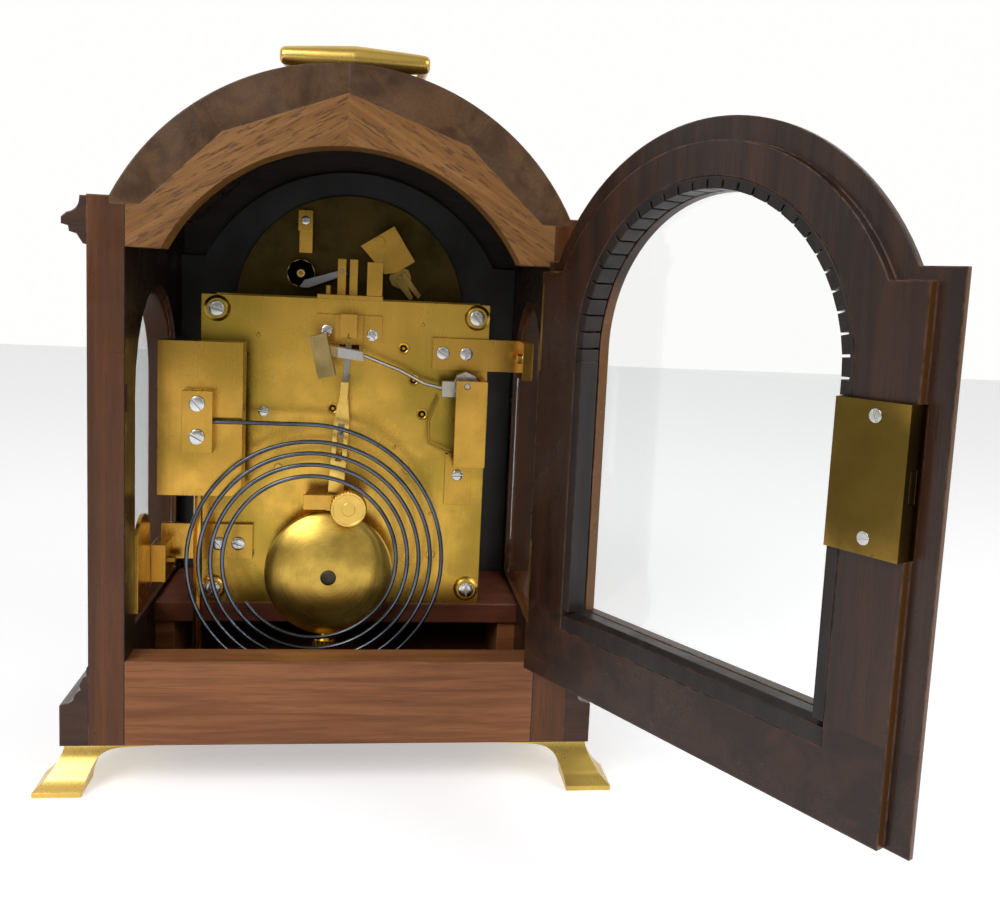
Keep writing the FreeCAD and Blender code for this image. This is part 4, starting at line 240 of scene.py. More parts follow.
grain.put(grain_out.inputs["Height"], grain.math("SUBTRACT", bands, pores))
grain.put(grain_out.inputs["Patch"], patch)

# Wear shows where the surface turns sharply: the softened normal leaves the true one.
edge_wear, wear_in, wear_out = finish_group(
    "edge_wear", [("Soft", "v"), ("Sharp", "v"), ("Vector", "v"), ("Amount", "f")],
    [("Mask", "f")])
wear = Bench(edge_wear)
turn = wear.math("SUBTRACT", 1.0, wear.vector("DOT_PRODUCT", wear_in.outputs["Soft"],
                                              wear_in.outputs["Sharp"]))
worn = wear.math("MULTIPLY", wear.spread(turn, 0.015, 0.16),
                 wear.spread(wear.noise(wear_in.outputs["Vector"], 160.0, 5.0), 0.38, 0.62))
wear.put(wear_out.inputs["Mask"],
         wear.math("MULTIPLY", worn, wear_in.outputs["Amount"], clamp=True))


def new_finish(name):
    """A material with its bench, its Principled shader and its object coordinates."""
    material = bpy.data.materials.new(name)
    material.use_nodes = True
    bench = Bench(material.node_tree)
    shader = material.node_tree.nodes["Principled BSDF"]
    coordinates = material.node_tree.nodes.new("ShaderNodeTexCoord").outputs["Object"]
    return material, bench, shader, coordinates


def softened(bench, radius):
    """The normal with its edges eased, and the true one."""
    bevel = bench.tree.nodes.new("ShaderNodeBevel")
    bevel.samples = 4
    bevel.inputs["Radius"].default_value = radius
    geometry = bench.tree.nodes.new("ShaderNodeNewGeometry")
    return bevel.outputs["Normal"], geometry.outputs["Normal"]


def relief(bench, height, normal, strength, distance=0.0004):
    """The normal tilted by a height that varies over the surface."""
    bump = bench.tree.nodes.new("ShaderNodeBump")
    bump.inputs["Strength"].default_value = strength
    bump.inputs["Distance"].default_value = distance
    bench.put(bump.inputs["Height"], height)
    bench.put(bump.inputs["Normal"], normal)
    return bump.outputs["Normal"]


def timber(name, pale, dark, turn=(0, 0, 0), figure=60.0, gloss=0.3, wear_amount=0.5,
           worn_to=(0.30, 0.17, 0.10), painted_shade_within=None):
    """Polished timber whose grain runs along local Z after turn.  Faces nearer to the middle
    of the case along X than the given distance are darkened to near black: painted shade
    inside the case."""
    material, bench, shader, place = new_finish(name)
    grained = bench.use(wood_grain, Vector=bench.turned(place, turn), Pale=pale, Dark=dark,
                        Figure=figure)
    soft, true = softened(bench, 0.0011)
    rubbed = bench.use(edge_wear, Soft=soft, Sharp=true, Vector=place,
                       Amount=wear_amount)["Mask"]
    colour = bench.mix(rubbed, grained["Colour"], worn_to)
    # Painted shade: the faces inside the case are darkened to near black, where the case
    # shades them.
    if painted_shade_within:
        outward = bench.math("ABSOLUTE", bench.axes(place)["X"])
        inside = bench.spread(outward, painted_shade_within + 0.0002, painted_shade_within)
        colour = bench.mix(inside, colour, (0.016, 0.009, 0.006))
    bench.put(shader.inputs["Base Color"], colour)
    shader.inputs["Specular IOR Level"].default_value = 0.32
    smears = bench.noise(place, 35.0, 4.0)
    rough = bench.math("ADD", bench.spread(smears, 0.3, 0.7, gloss - 0.06, gloss + 0.12),
                       bench.math("MULTIPLY", rubbed, 0.25))
    bench.put(shader.inputs["Roughness"], rough)
    bench.put(shader.inputs["Normal"], relief(bench, grained["Height"], soft, 0.12))
    return material


def dress(material, *names):
    """Give the named solids one material on every face."""
    for name in names:
        solid = solids[name]
        solid.data.materials.clear()
        solid.data.materials.append(material)


quarter = math.pi / 2
# The side panels get painted shade on their inner faces, darkened to near black.
side_timber = timber("mahogany_sides", (0.130, 0.042, 0.010), (0.050, 0.016, 0.004),
                     painted_shade_within=0.1029)
stave_timber = timber("mahogany_roof", (0.105, 0.052, 0.022), (0.040, 0.018, 0.007),
                      (quarter, 0, 0))
rail_timber = timber("mahogany_rails", (0.270, 0.102, 0.036), (0.150, 0.050, 0.015),
                     (0, quarter, 0), 230.0, 0.40)
trim_timber = timber("mahogany_mouldings", (0.062, 0.024, 0.010), (0.022, 0.009, 0.004),
                     (0, quarter, 0), 70.0, 0.25)
seat_timber = timber("seat_board_timber", (0.115, 0.032, 0.014), (0.055, 0.015, 0.006),
                     (0, quarter, 0), 50.0, 0.42)
dress(side_timber, "side_panel_left", "side_panel_right")
dress(stave_timber, "roof_staves")
dress(rail_timber, "carcass_boards")
dress(trim_timber, "case_mouldings")
dress(seat_timber, "seat_board")


def arch_timber():
    """Open-grained facing: the grain of each half of the arch leans down from the crown,
    and short pale flecks cross it."""
    material, bench, shader, place = new_finish("arch_facing")
    parts = bench.axes(place)
    # The two halves are 370 mm apart in the pattern, so they don't mirror each other.
    half = bench.math("MULTIPLY", bench.math("SIGN", parts["X"]), 0.37)
    folded = bench.joined(bench.math("ABSOLUTE", parts["X"]),
                          bench.math("ADD", parts["Y"], half), parts["Z"])
    leaning = bench.turned(folded, (0, math.radians(90 - 31), 0))
    grained = bench.use(wood_grain, Vector=leaning, Pale=(0.250, 0.115, 0.032),
                        Dark=(0.150, 0.062, 0.016), Figure=260.0)
    streak = bench.vector("MULTIPLY", leaning, (1.0, 1.0, 0.14))
    flecks = bench.spread(bench.noise(streak, 900.0, 2.0, 0.5), 0.56, 0.64)
    colour = bench.mix(bench.math("MULTIPLY", flecks, 0.75), grained["Colour"],
                       (0.075, 0.032, 0.010))
    soft, _ = softened(bench, 0.0009)
    bench.put(shader.inputs["Base Color"], colour)
    bench.put(shader.inputs["Roughness"], bench.spread(grained["Patch"], 0.3, 0.7, 0.38, 0.5))
    shader.inputs["Specular IOR Level"].default_value = 0.28
    bench.put(shader.inputs["Normal"], relief(bench, grained["Height"], soft, 0.2))
    return material


dress(arch_timber(), "rear_arch_frame")
dress(timber("stained_frame", (0.020, 0.011, 0.007), (0.008, 0.005, 0.003), (0, quarter, 0),
             90.0, 0.5, 0.0), "front_arch_frame")


def clear_glass(name):
    """Thin window glass: it bends no shadow, and a trace of dust dulls it."""
    material, bench, shader, place = new_finish(name)
    dust = bench.spread(bench.noise(place, 90.0, 5.0), 0.55, 0.8, 0.0, 0.06)
    bench.put(shader.inputs["Roughness"], dust)
    shader.inputs["Base Color"].default_value = (0.975, 0.985, 0.98, 1)
    shader.inputs["Transmission Weight"].default_value = 1.0
    shader.inputs["IOR"].default_value = 1.45
    bench.put(shader.inputs["Alpha"],
              bench.math("SUBTRACT", 1.0, bench.rays("Is Shadow Ray")))
    return material


dress(clear_glass("window_glass"), "side_window_panes")

# ------------------------------------------------------------------ the cast brass feet
# Each foot is one casting: an ogee that leaves the base moulding and flares out to a
# square-nosed sole on both outer sides.  It is filed, polished and lacquered.


# Metal grain: fine lines along the third axis, clouds of tarnish, small dark spots, and the
# broad patches where lacquer has worn and the metal has dulled.
metal_grain, metal_in, metal_out = finish_group(
    "metal_grain", [("Vector", "v"), ("Lines", "f")],
    [("Line", "f"), ("Cloud", "f"), ("Spot", "f"), ("Broad", "f")])
metal = Bench(metal_grain)
metal.put(metal_out.inputs["Broad"],
          metal.spread(metal.noise(metal_in.outputs["Vector"], 11.0, 2.0), 0.42, 0.62))
drawn = metal.vector("MULTIPLY", metal_in.outputs["Vector"], (1.0, 1.0, 0.02))
metal.put(metal_out.inputs["Line"], metal.noise(drawn, metal_in.outputs["Lines"], 3.0))
metal.put(metal_out.inputs["Cloud"],
          metal.spread(metal.noise(metal_in.outputs["Vector"], 38.0, 5.0), 0.35, 0.7))
metal.put(metal_out.inputs["Spot"],
          metal.spread(metal.noise(metal_in.outputs["Vector"], 420.0, 3.0), 0.66, 0.76))


def brasswork(name, bright, dull, rough=0.2, lines=900.0, tarnish=0.5, metallic=1.0):
    """Polished metal with tarnish clouds, spots and fine upright lines."""
    material, bench, shader, place = new_finish(name)
    marks = bench.use(metal_grain, Vector=place, Lines=lines)
    stain = bench.math("ADD", bench.math("MULTIPLY", marks["Cloud"], tarnish),
                       bench.math("MULTIPLY", marks["Spot"], 0.5), clamp=True)
    deep = tuple(share * part for share, part in zip((0.62, 0.70, 0.55), dull))
    stained = bench.mix(stain, bright, dull)
    bench.put(shader.inputs["Base Color"],
              bench.mix(bench.math("MULTIPLY", marks["Broad"], tarnish), stained, deep))
    shader.inputs["Metallic"].default_value = metallic
    rough_here = bench.math("ADD", bench.math("MULTIPLY", stain, 0.14),
                            bench.math("MULTIPLY", marks["Line"], 0.10))
    bench.put(shader.inputs["Roughness"], bench.math("ADD", rough_here, rough - 0.05))
    soft, _ = softened(bench, 0.0004)
    bench.put(shader.inputs["Normal"], relief(bench, marks["Line"], soft, 0.05, 0.0002))
    return material


def two_part(name, first, second, axis, level, rough, tarnish):
    """Metal that has one colour below level on axis and another, deeper one past it."""
    material = brasswork(name, first, second, rough, tarnish=tarnish)
    bench, shader = Bench(material.node_tree), material.node_tree.nodes["Principled BSDF"]
    below = shader.inputs["Base Color"].links[0].from_socket
    place = material.node_tree.nodes["Texture Coordinate"].outputs["Object"]
    past = bench.spread(bench.axes(place)[axis], level - 0.0001, level + 0.0001)
    cloud = bench.spread(bench.noise(place, 45.0, 5.0), 0.35, 0.7)
    beyond = bench.mix(cloud, second, tuple(0.5 * part for part in second))
    bench.put(shader.inputs["Base Color"], bench.mix(past, below, beyond))
    return material


foot_brass = brasswork("foot_brass", (0.74, 0.50, 0.13), (0.50, 0.32, 0.07), 0.27)


def grid_form(points, closed=False, cap=False):
    """Points on a grid in mm and the four-sided faces between them; closed joins the last
    column to the first, and cap closes the two end rows."""
    rows, columns = points.shape[:2]
    index = np.arange(rows * columns).reshape(rows, columns)
    ends = [index[0].tolist()[::-1], index[-1].tolist()] if cap else []
    if closed:
        index = np.hstack([index, index[:, :1]])
    quads = np.stack([index[:-1, :-1], index[:-1, 1:], index[1:, 1:], index[1:, :-1]], -1)
    return points.reshape(-1, 3) * MM, quads.reshape(-1, 4).tolist() + ends


def new_piece(name, material, *forms, crease=32.0):
    """One object from several forms: doubled points merged, faces turned outwards, and
    edges sharper than crease degrees kept sharp."""
    points, faces, start = [], [], 0
    for form_points, form_faces in forms:
        points.append(form_points)
        faces += [[corner + start for corner in face] for face in form_faces]
        start += len(form_points)
    mesh = bpy.data.meshes.new(name)
    mesh.from_pydata(np.vstack(points).tolist(), [], faces)
    work = bmesh.new()
    work.from_mesh(mesh)
    bmesh.ops.remove_doubles(work, verts=work.verts, dist=1e-6)
    bmesh.ops.dissolve_degenerate(work, edges=work.edges, dist=1e-7)
    bmesh.ops.recalc_face_normals(work, faces=work.faces)
    work.to_mesh(mesh)
    work.free()
    mesh.polygons.foreach_set("use_smooth", [True] * len(mesh.polygons))
    mesh.set_sharp_from_angle(angle=math.radians(crease))
    mesh.materials.append(material)
    piece = bpy.data.objects.new(name, mesh)
    scene.collection.objects.link(piece)
    return piece


def smooth_line(corners, steps):
    """Points along a Catmull-Rom curve through corners, steps to each span."""
    corners = np.asarray(corners, float)
    padded = np.vstack([2 * corners[0] - corners[1], corners, 2 * corners[-1] - corners[-2]])
    t = np.linspace(0, 1, steps, endpoint=False)[:, None]
    a, b, c, d = (padded[k:len(padded) - 3 + k, None, :] for k in range(4))
    line = 0.5 * (2 * b + (c - a) * t + (2 * a - 5 * b + 4 * c - d) * t ** 2
                  + (3 * b - a - 3 * c + d) * t ** 3)
    return np.vstack([line.reshape(-1, corners.shape[1]), corners[-1:]])


def foot_form(side, end):
    """Square rings from the sole up: each ring's outer corner lies on the ogee of both
    outer sides, and its inner corner on the hollow curve that rises under the pad."""
    corner_x, corner_y, depth_shift = 133.8, 75.0, 13.8
    sole_out, pad_out, pad_in, pad_top = 12.5, 0.0, -44.0, 25.5
    outer = np.vstack([[(0.0, sole_out)], smooth_line(
        [(2.6, sole_out), (6.6, 7.9), (10.2, 5.4), (16.2, 1.9), (21.0, 0.3),
         (pad_top, pad_out)], 6)])
    inner = np.vstack([smooth_line([(0.0, -11.0), (4.2, -11.5), (11.9, -14.2),
                                    (17.4, -18.2), (20.3, -26.0), (21.3, pad_in)], 6),
                       [(pad_top, pad_in)]])
    level = np.unique(np.concatenate([outer[:, 0], inner[:, 0]]).round(4))
    far, near = np.interp(level, *outer.T), np.interp(level, *inner.T)
    ring = np.stack([np.stack([u, v, level], -1)
                     for u, v in ((near, near), (far, near), (far, far), (near, far))], 1)
    ring = ring * (side, 1, 1) + (side * corner_x, corner_y, 0)
    if end < 0:
        ring = ring * (1, -1, 1) - (0, depth_shift, 0)
    return grid_form(ring, closed=True, cap=True)


foot_forms = [foot_form(side, end) for side in (1, -1) for end in (1, -1)]
brass_feet = new_piece("brass_feet", foot_brass, *foot_forms)
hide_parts("feet")
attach(brass_feet, "case")

# ------------------------------------------------------------------ the carrying handle
# A cast grip that swells to a ridge in its middle, on two short arms that turn on pins in
# two turned posts.  It lies folded down over the back of the roof.


def turned_form(profile, centre, axis="Z", steps=48):
    """A profile of (radius, height along the axis) turned once round the axis."""
    profile = np.asarray(profile, float)
    angle = np.linspace(0, 2 * np.pi, steps, endpoint=False)
    reach, height = profile[:, :1], np.broadcast_to(profile[:, 1:], (len(profile), steps))
    u, v = reach * np.cos(angle), reach * np.sin(angle)
    order = {"Z": (u, v, height), "Y": (v, height, u), "X": (height, u, v)}[axis]
    points, faces = grid_form(np.stack(order, -1) + np.asarray(centre, float), closed=True)
    ends = [list(range(steps)), list(range(len(points) - steps, len(points)))]
    return points, faces + ends


handle_mid, post_seat, pin_height, grip_back = -2.0, 361.6, 370.6, 55.0
grip_half = smooth_line([(0.6, -37.2), (2.9, -36.9), (4.2, -35.4), (4.7, -32.0),
                         (5.5, -21.0), (6.35, -7.5), (6.8, 0.0)], 8)
grip_line = np.vstack([grip_half, grip_half[-2::-1] * (1, -1)])
handle_forms = [turned_form(grip_line, (handle_mid, grip_back, pin_height), "X", 56)]
post_forms = []
post_line = np.vstack([
    [(2.9, -11), (2.9, -2.0), (6.6, -2.0), (7.0, -1.6), (7.0, -0.9), (6.5, -0.5)],
    smooth_line([(4.6, 1.4), (3.3, 3.6), (3.2, 5.0), (4.0, 6.8), (4.4, 9.0), (4.1, 11.2),
                 (2.9, 12.8), (1.2, 13.2)], 5)])
arm_line = smooth_line([(0.9, -2.8), (2.6, -1.9), (3.0, 0), (2.6, 2.2), (2.2, 5), (2.3, 12),
                        (2.7, 30), (3.3, 46), (3.3, 52), (2.4, 57.2), (0.9, 58.2)], 5)
for side in (1, -1):
    post_x, arm_x = handle_mid + side * 26.0, handle_mid + side * 34.0
    post_forms.append(turned_form(post_line, (post_x, 0, post_seat)))
    handle_forms.append(turned_form(arm_line, (arm_x, 0, pin_height), "Y", 32))
    pin_line = [(1.5, 0), (1.5, 12.4), (1.0, 12.9)]
    pin_start = arm_x - 13.6 if side > 0 else arm_x + 0.7
    handle_forms.append(turned_form(pin_line, (pin_start, 0, pin_height), "X", 24))
handle_piece = new_piece("brass_handle", foot_brass, *handle_forms, crease=20)
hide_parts("carrying_handle")
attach(handle_piece, "handle")
post_piece = new_piece("brass_handle_posts", foot_brass, *post_forms)
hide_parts("handle_posts")
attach(post_piece, "case")

# ------------------------------------------------------------------ the glazed doors
# Front and back doors are frames of dark mahogany whose lip laps over the case.  The back
# one stands open: its glass is held by a black bead sawn part way through to go round.


def door_timber(name, turn_stile, turn_rail, lowest, edge_way):
    """Stiles and arch with upright grain, and a bottom rail with level grain between.  The
    edges that face along edge_way have kept less of their dark stain."""
    material, bench, shader, place = new_finish(name)
    looks = [bench.use(wood_grain, Vector=bench.turned(place, turn),
                       Pale=(0.040, 0.015, 0.007), Dark=(0.012, 0.0045, 0.002),
                       Figure=75.0) for turn in (turn_stile, turn_rail)]
    rail = bench.spread(bench.axes(place)["Z"], lowest + 0.0002, lowest - 0.0002)
    colour = bench.mix(rail, looks[0]["Colour"], looks[1]["Colour"])
    facing = bench.tree.nodes.new("ShaderNodeTexCoord").outputs["Normal"]
    edge_on = bench.vector("DOT_PRODUCT", facing, edge_way)
    colour = bench.mix(bench.spread(edge_on, 0.85, 0.97), colour, (0.115, 0.047, 0.010))
    soft, true = softened(bench, 0.0012)
    rubbed = bench.use(edge_wear, Soft=soft, Sharp=true, Vector=place, Amount=0.75)["Mask"]
    bench.put(shader.inputs["Base Color"], bench.mix(rubbed, colour, (0.22, 0.11, 0.06)))
    shader.inputs["Specular IOR Level"].default_value = 0.36
    smears = bench.noise(place, 28.0, 5.0)
    bench.put(shader.inputs["Roughness"],
              bench.math("ADD", bench.spread(smears, 0.3, 0.7, 0.2, 0.36),
                         bench.math("MULTIPLY", rubbed, 0.25)))
    bench.put(shader.inputs["Normal"], relief(bench, looks[0]["Height"], soft, 0.10))
    return material


open_angle, hinge_x, hinge_y = math.radians(119.94), -102.2, 87.98
dress(door_timber("back_door_timber", (0, 0, 0), (0, quarter, -open_angle), 0.1075,
                  (math.cos(open_angle), math.sin(open_angle), 0)), "back_door_frame")
dress(door_timber("front_door_timber", (0, 0, 0), (0, quarter, 0), 0.086, (-1, 0, 0)),
      "front_door_frame")
dress(clear_glass("door_glass"), "back_door_glass", "front_door_glass")
bead_timber = timber("black_bead_timber", (0.020, 0.013, 0.011), (0.006, 0.005, 0.005),
                     (0, 0, 0), 120.0, 0.34, 0.55, (0.12, 0.055, 0.03))
dress(bead_timber, "back_door_beads")
hinge_brass = brasswork("hinge_brass", (0.48, 0.30, 0.07), (0.16, 0.09, 0.02), 0.34,
                        tarnish=0.8)
dress(hinge_brass, "case_hinge_leaves", "back_door_hinge_leaves", "front_door_hinge_leaves")
lock_brass = brasswork("lock_brass", (0.36, 0.22, 0.045), (0.13, 0.075, 0.018), 0.28,
                       tarnish=0.9)
dress(lock_brass, "lock_case", "lock_bolt")
steel = brasswork("screw_steel", (0.72, 0.71, 0.69), (0.30, 0.29, 0.27), 0.18, tarnish=0.4)


def slotted_form(spot, radius, tall, angle, facing=(0, 1, 0)):
    """A screw head as a grid of columns across the slot: every column ends on the circle,
    the crown is slightly domed, and the columns inside the slot lie lower."""
    slot, edge = 0.15 * radius, 1e-3
    half = radius * np.cos(np.linspace(0, 1.4, 9))
    across = np.concatenate([-half, [-slot - edge, -slot, slot, slot + edge], half[::-1]])
    reach = np.sqrt(np.maximum(radius ** 2 - across ** 2, 0))
    share = np.sin(np.linspace(-np.pi / 2, np.pi / 2, 13))
    along_slot = reach[:, None] * share
    across = np.broadcast_to(across[:, None], along_slot.shape)
    out = np.hypot(across, along_slot) / radius
    height = tall * (1 - 0.22 * out ** 4)
    height = np.where(np.abs(across) <= slot * 1.0001, tall * 0.45, height)
    grid = np.stack([across, along_slot, height], -1)
    rim_low, rim_high = grid[:, :1] * (1, 1, 0), grid[:, -1:] * (1, 1, 0)
    grid = np.concatenate([rim_low, grid, rim_high], 1)
    c, s = math.cos(math.radians(angle)), math.sin(math.radians(angle))
    normal = np.array(facing, float)
    level = np.cross((0, 0, 1.0), normal)
    level /= np.linalg.norm(level)
    upright = np.cross(normal, level)
    basis = np.array([c * level + s * upright, c * upright - s * level, normal])
    return grid_form(grid @ basis + np.asarray(spot, float))


def on_open_door(x, y, z):
    """A place on the shut back door, carried round its hinge to the open door."""
    c, s = math.cos(open_angle), math.sin(open_angle)
    dx, dy = x - hinge_x, y - hinge_y
    return (hinge_x + c * dx - s * dy, hinge_y + s * dx + c * dy, z)


inward = (math.sin(open_angle), -math.cos(open_angle), 0)
lock_face = 76.1
lock_screws = [slotted_form(on_open_door(x, lock_face, z), 2.5, 0.5, angle, inward)
               for x, z, angle in ((88.6, 223.6, 25), (88.0, 180.4, 100))]
lock_screw_piece = new_piece("lock_screws", steel, *lock_screws)
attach(lock_screw_piece, "back_door")

# ------------------------------------------------------------------ the movement's frame
# Two thick brass plates stand on a seat board and are held apart by four turned pillars.
# Slotted steel screws, brass straps and cocks are fixed to the polished back plate.

plate_brass = brasswork("plate_brass", (0.66, 0.385, 0.065), (0.42, 0.27, 0.045), 0.22,
                        700.0, 0.75)
cock_brass = brasswork("cock_brass", (0.64, 0.36, 0.065), (0.38, 0.22, 0.035), 0.22,
                       tarnish=0.6)
dress(plate_brass, "back_plate", "front_plate")
dress(cock_brass, "case_brackets", "back_cocks", "suspension_bridge", "arch_cocks",
      "hammer_cock", "gong_block")

plate_back, washer_back = 13.8, 15.8
pillar_spots = ((70.2, 243.3), (-72.4, 243.7), (-72.2, 87.0), (70.8, 86.4))
screw_angles = (70, 35, 0, -35)
pillar_line = np.vstack([
    [(2.4, -44.0), (2.4, -41.0), (5.8, -41.0), (5.8, -38.9), (4.9, -38.2)],
    smooth_line([(3.6, -36.4), (3.3, -34), (3.3, -20), (5.2, -15.1), (3.3, -10.2), (3.3, 4),
                 (3.6, 6.2)], 5),
    [(4.9, 8.0), (5.8, 8.7), (5.8, 10.8), (2.4, 10.8), (2.4, plate_back)]])
washer_line = [(2.0, plate_back), (7.2, plate_back), (7.2, 14.2), (6.9, 14.7), (5.9, 15.5),
               (5.5, washer_back), (2.0, washer_back)]
pillar_forms = []
for x, z in pillar_spots:
    pillar_forms.append(turned_form(pillar_line, (x, 0, z), "Y", 40))
    pillar_forms.append(turned_form(washer_line, (x, 0, z), "Y", 48))
pillar_piece = new_piece("pillars_and_washers", plate_brass, *pillar_forms)
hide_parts("plate_pillars")
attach(pillar_piece, "case")

# Each head: its place, its radius, its height and the angle of its slot.
head_list = [(x, washer_back, z, 4.2, 1.8, angle)
             for (x, z), angle in zip(pillar_spots, screw_angles)]
head_list += [
    (10.6, 16.8, 233.6, 3.1, 1.5, -60), (-14.2, 16.8, 231.8, 3.1, 1.5, 35),
    (-53.8, 16.8, 223.5, 3.6, 1.6, 55), (-66.9, 16.8, 223.4, 3.6, 1.6, 0),
    (67.4, 16.8, 112.4, 3.6, 1.6, 40), (56.8, 16.8, 112.6, 3.6, 1.6, 70),
    (-64.5, 16.0, 154.2, 3.1, 1.6, 90), (75.0, 47.0, 194.4, 4.0, 1.6, 40),
    (75.0, 47.0, 177.0, 4.0, 1.6, 60), (11.5, 15.8, 136.8, 2.6, 1.4, 15),
    (44.5, plate_back, 187.3, 2.9, 1.4, 80)]
head_piece = new_piece("movement_screw_heads", steel,
                       *[slotted_form((x, y, z), radius, tall, angle)
                         for x, y, z, radius, tall, angle in head_list])
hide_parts("movement_screws")
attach(head_piece, "case")

# Each pivot hole in the back plate has a turned oil sink, and small pins mark where the
# parts behind the plate are fixed.
sink_spots = ((6.5, 190.0), (-43.4, 188.2), (-38.1, 207.5), (-31.8, 225.0), (0.0, 163.0))
sink_line = [(1.1, 13.5), (1.6, 13.86), (2.9, 13.97), (3.2, 13.97), (3.35, 13.8)]
pin_line = [(0.05, 14.35), (0.8, 14.25), (1.1, 13.9), (1.15, 13.7)]
pin_spots = ((48.0, 229.8), (-42.0, 238.7), (26.4, 170.1), (-28.2, 168.9), (53.0, 148.0),
             (-50.0, 131.0), (20.0, 103.0), (-24.0, 100.0))
sink_forms = [turned_form(sink_line, (x, 0, z), "Y", 32) for x, z in sink_spots]
sink_forms += [turned_form(pin_line, (x, 0, z), "Y", 16) for x, z in pin_spots]
sink_piece = new_piece("oil_sinks_and_pins", cock_brass, *sink_forms)
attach(sink_piece, "case")

# ------------------------------------------------------------------ the trains
# Brass wheels crossed out by hand, steel arbors and pinions, fusees and barrels.  Little
# of them shows past the plates, from the sides and from above.

wheel_brass = brasswork("wheel_brass", (0.72, 0.46, 0.11), (0.44, 0.26, 0.06), 0.26,
                        tarnish=0.5)
gut_cord = brasswork("gut_cord", (0.50, 0.33, 0.15), (0.30, 0.18, 0.08), 0.5,
                     metallic=0.0, lines=2500.0)
arm_steel = brasswork("arm_steel", (0.40, 0.40, 0.41), (0.20, 0.20, 0.21), 0.28)
dress(wheel_brass, "going_fusee", "strike_fusee", "going_barrel", "strike_barrel",
      "centre_arbor", "third_arbor", "escape_arbor", "pin_wheel_arbor", "warning_arbor",
      "fly_arbor", "minute_wheel", "hour_wheel")
dress(gut_cord, "fusee_lines")
dress(arm_steel, "pallets_and_crutch", "rise_fall_lever")

# ------------------------------------------------------------------ the dial and its hands
# A brass dial with a silvered chapter ring and two small rings in the arch, on a black
# board.  The numerals are cut and filled with black wax; the hands are blued steel.

dial_brass = two_part("dial_brass", (0.70, 0.46, 0.12), (0.075, 0.050, 0.014), "Y",
                      -0.0575, 0.34, 0.5)
silvering = brasswork("silvering", (0.72, 0.71, 0.67), (0.52, 0.50, 0.46), 0.42,
                      tarnish=0.35)
blued_steel = two_part("blued_steel", (0.045, 0.06, 0.16), (0.40, 0.26, 0.07), "Y",
                       -0.0600, 0.22, 0.3)
dress(dial_brass, "dial_plate")
dress(silvering, "silvered_rings")
dress(blued_steel, "hour_hand", "minute_hand", "regulation_hand", "silent_hand")
black_board, board_bench, board_shader, board_place = new_finish("black_board")
board_noise = board_bench.noise(board_place, 60.0, 5.0)
board_bench.put(board_shader.inputs["Base Color"],
                board_bench.mix(board_noise, (0.006, 0.006, 0.006), (0.02, 0.018, 0.017)))
board_bench.put(board_shader.inputs["Roughness"],
                board_bench.spread(board_noise, 0.3, 0.7, 0.5, 0.7))
dress(black_board, "dial_mask")

black_wax, wax_bench, wax_shader, wax_place = new_finish("black_wax")
wax_bench.put(wax_shader.inputs["Base Color"],
              wax_bench.mix(wax_bench.noise(wax_place, 300.0), (0.010, 0.010, 0.011),
                            (0.03, 0.03, 0.03)))
wax_shader.inputs["Roughness"].default_value = 0.4

# A letter's strokes: the two ends and the width, in shares of the letter's height.
strokes = {"I": [(0.0, 0.0, 0.0, 1.0, 0.20)],
           "V": [(-0.36, 1.0, 0.0, 0.0, 0.20), (0.36, 1.0, 0.0, 0.0, 0.09)],
           "X": [(-0.36, 1.0, 0.36, 0.0, 0.20), (0.36, 1.0, -0.36, 0.0, 0.09)]}
widths = {"I": 0.34, "V": 0.86, "X": 0.86}


dial_centre, ring_face, wax_face = np.array([0.0, 163.0]), -60.5, -60.72


def stroke_form(ends, width):
    """A straight stroke of even width as a thin bar on the dial, from its two ends."""
    a, b = np.asarray(ends[0], float), np.asarray(ends[1], float)
    run = (b - a) / np.linalg.norm(b - a)
    side = np.array([-run[1], run[0]]) * width / 2
    flat = np.array([a + side, b + side, b - side, a - side])
    layers = [np.stack([flat[:, 0], np.full(4, y), flat[:, 1]], -1)
              for y in (wax_face, ring_face)]
    return grid_form(np.stack(layers), closed=True, cap=True)


def numeral_forms(text, angle, radius, tall):
    """Roman strokes side by side on a line across the radius at angle from twelve."""
    total = sum(widths[letter] for letter in text) * tall
    turn = np.array([[math.cos(angle), -math.sin(angle)], [math.sin(angle), math.cos(angle)]])
    forms, start = [], -total / 2
    for letter in text:
        middle = start + widths[letter] * tall / 2
        start += widths[letter] * tall
        for u0, v0, u1, v1, width in strokes[letter]:
            ends = np.array([(middle + u0 * tall, radius + v0 * tall),
                             (middle + u1 * tall, radius + v1 * tall)])
            forms.append(stroke_form(ends @ turn + dial_centre, width * tall))
    return forms


def minute_form(centre, lean, inner, outer, width):
    """A stroke along the radius that leans clockwise from twelve."""
    way = np.array([math.sin(lean), math.cos(lean)])
    return stroke_form((way * inner + centre, way * outer + centre), width)


numerals = ["XII", "I", "II", "III", "IIII", "V", "VI", "VII", "VIII", "IX", "X", "XI"]
dial_forms = []
for hour, text in enumerate(numerals):
    dial_forms += numeral_forms(text, hour * math.pi / 6, 55.0, 11.0)
for minute in range(60):
    width = 1.2 if minute % 5 == 0 else 0.45
    dial_forms.append(minute_form(dial_centre, minute * math.pi / 30, 68.6, 71.4, width))
small_ring_x, small_ring_z = 30.0, 264.5
for side in (1, -1):
    for mark in range(12):
        dial_forms.append(minute_form((small_ring_x * side, small_ring_z),
                                      mark * math.pi / 6, 14.0, 18.5, 0.6))
dial_marks = new_piece("dial_marks", black_wax, *dial_forms)
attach(dial_marks, "case")

# ------------------------------------------------------------------ the pendulum
# A flat brass rod hangs on a spring in front of the back plate, with a lens bob of brass
# over lead, a knurled rating nut below, and a knurled holdfast screw for travel.

bob_brass, bob_bench, bob_shader, bob_place = new_finish("bob_brass")
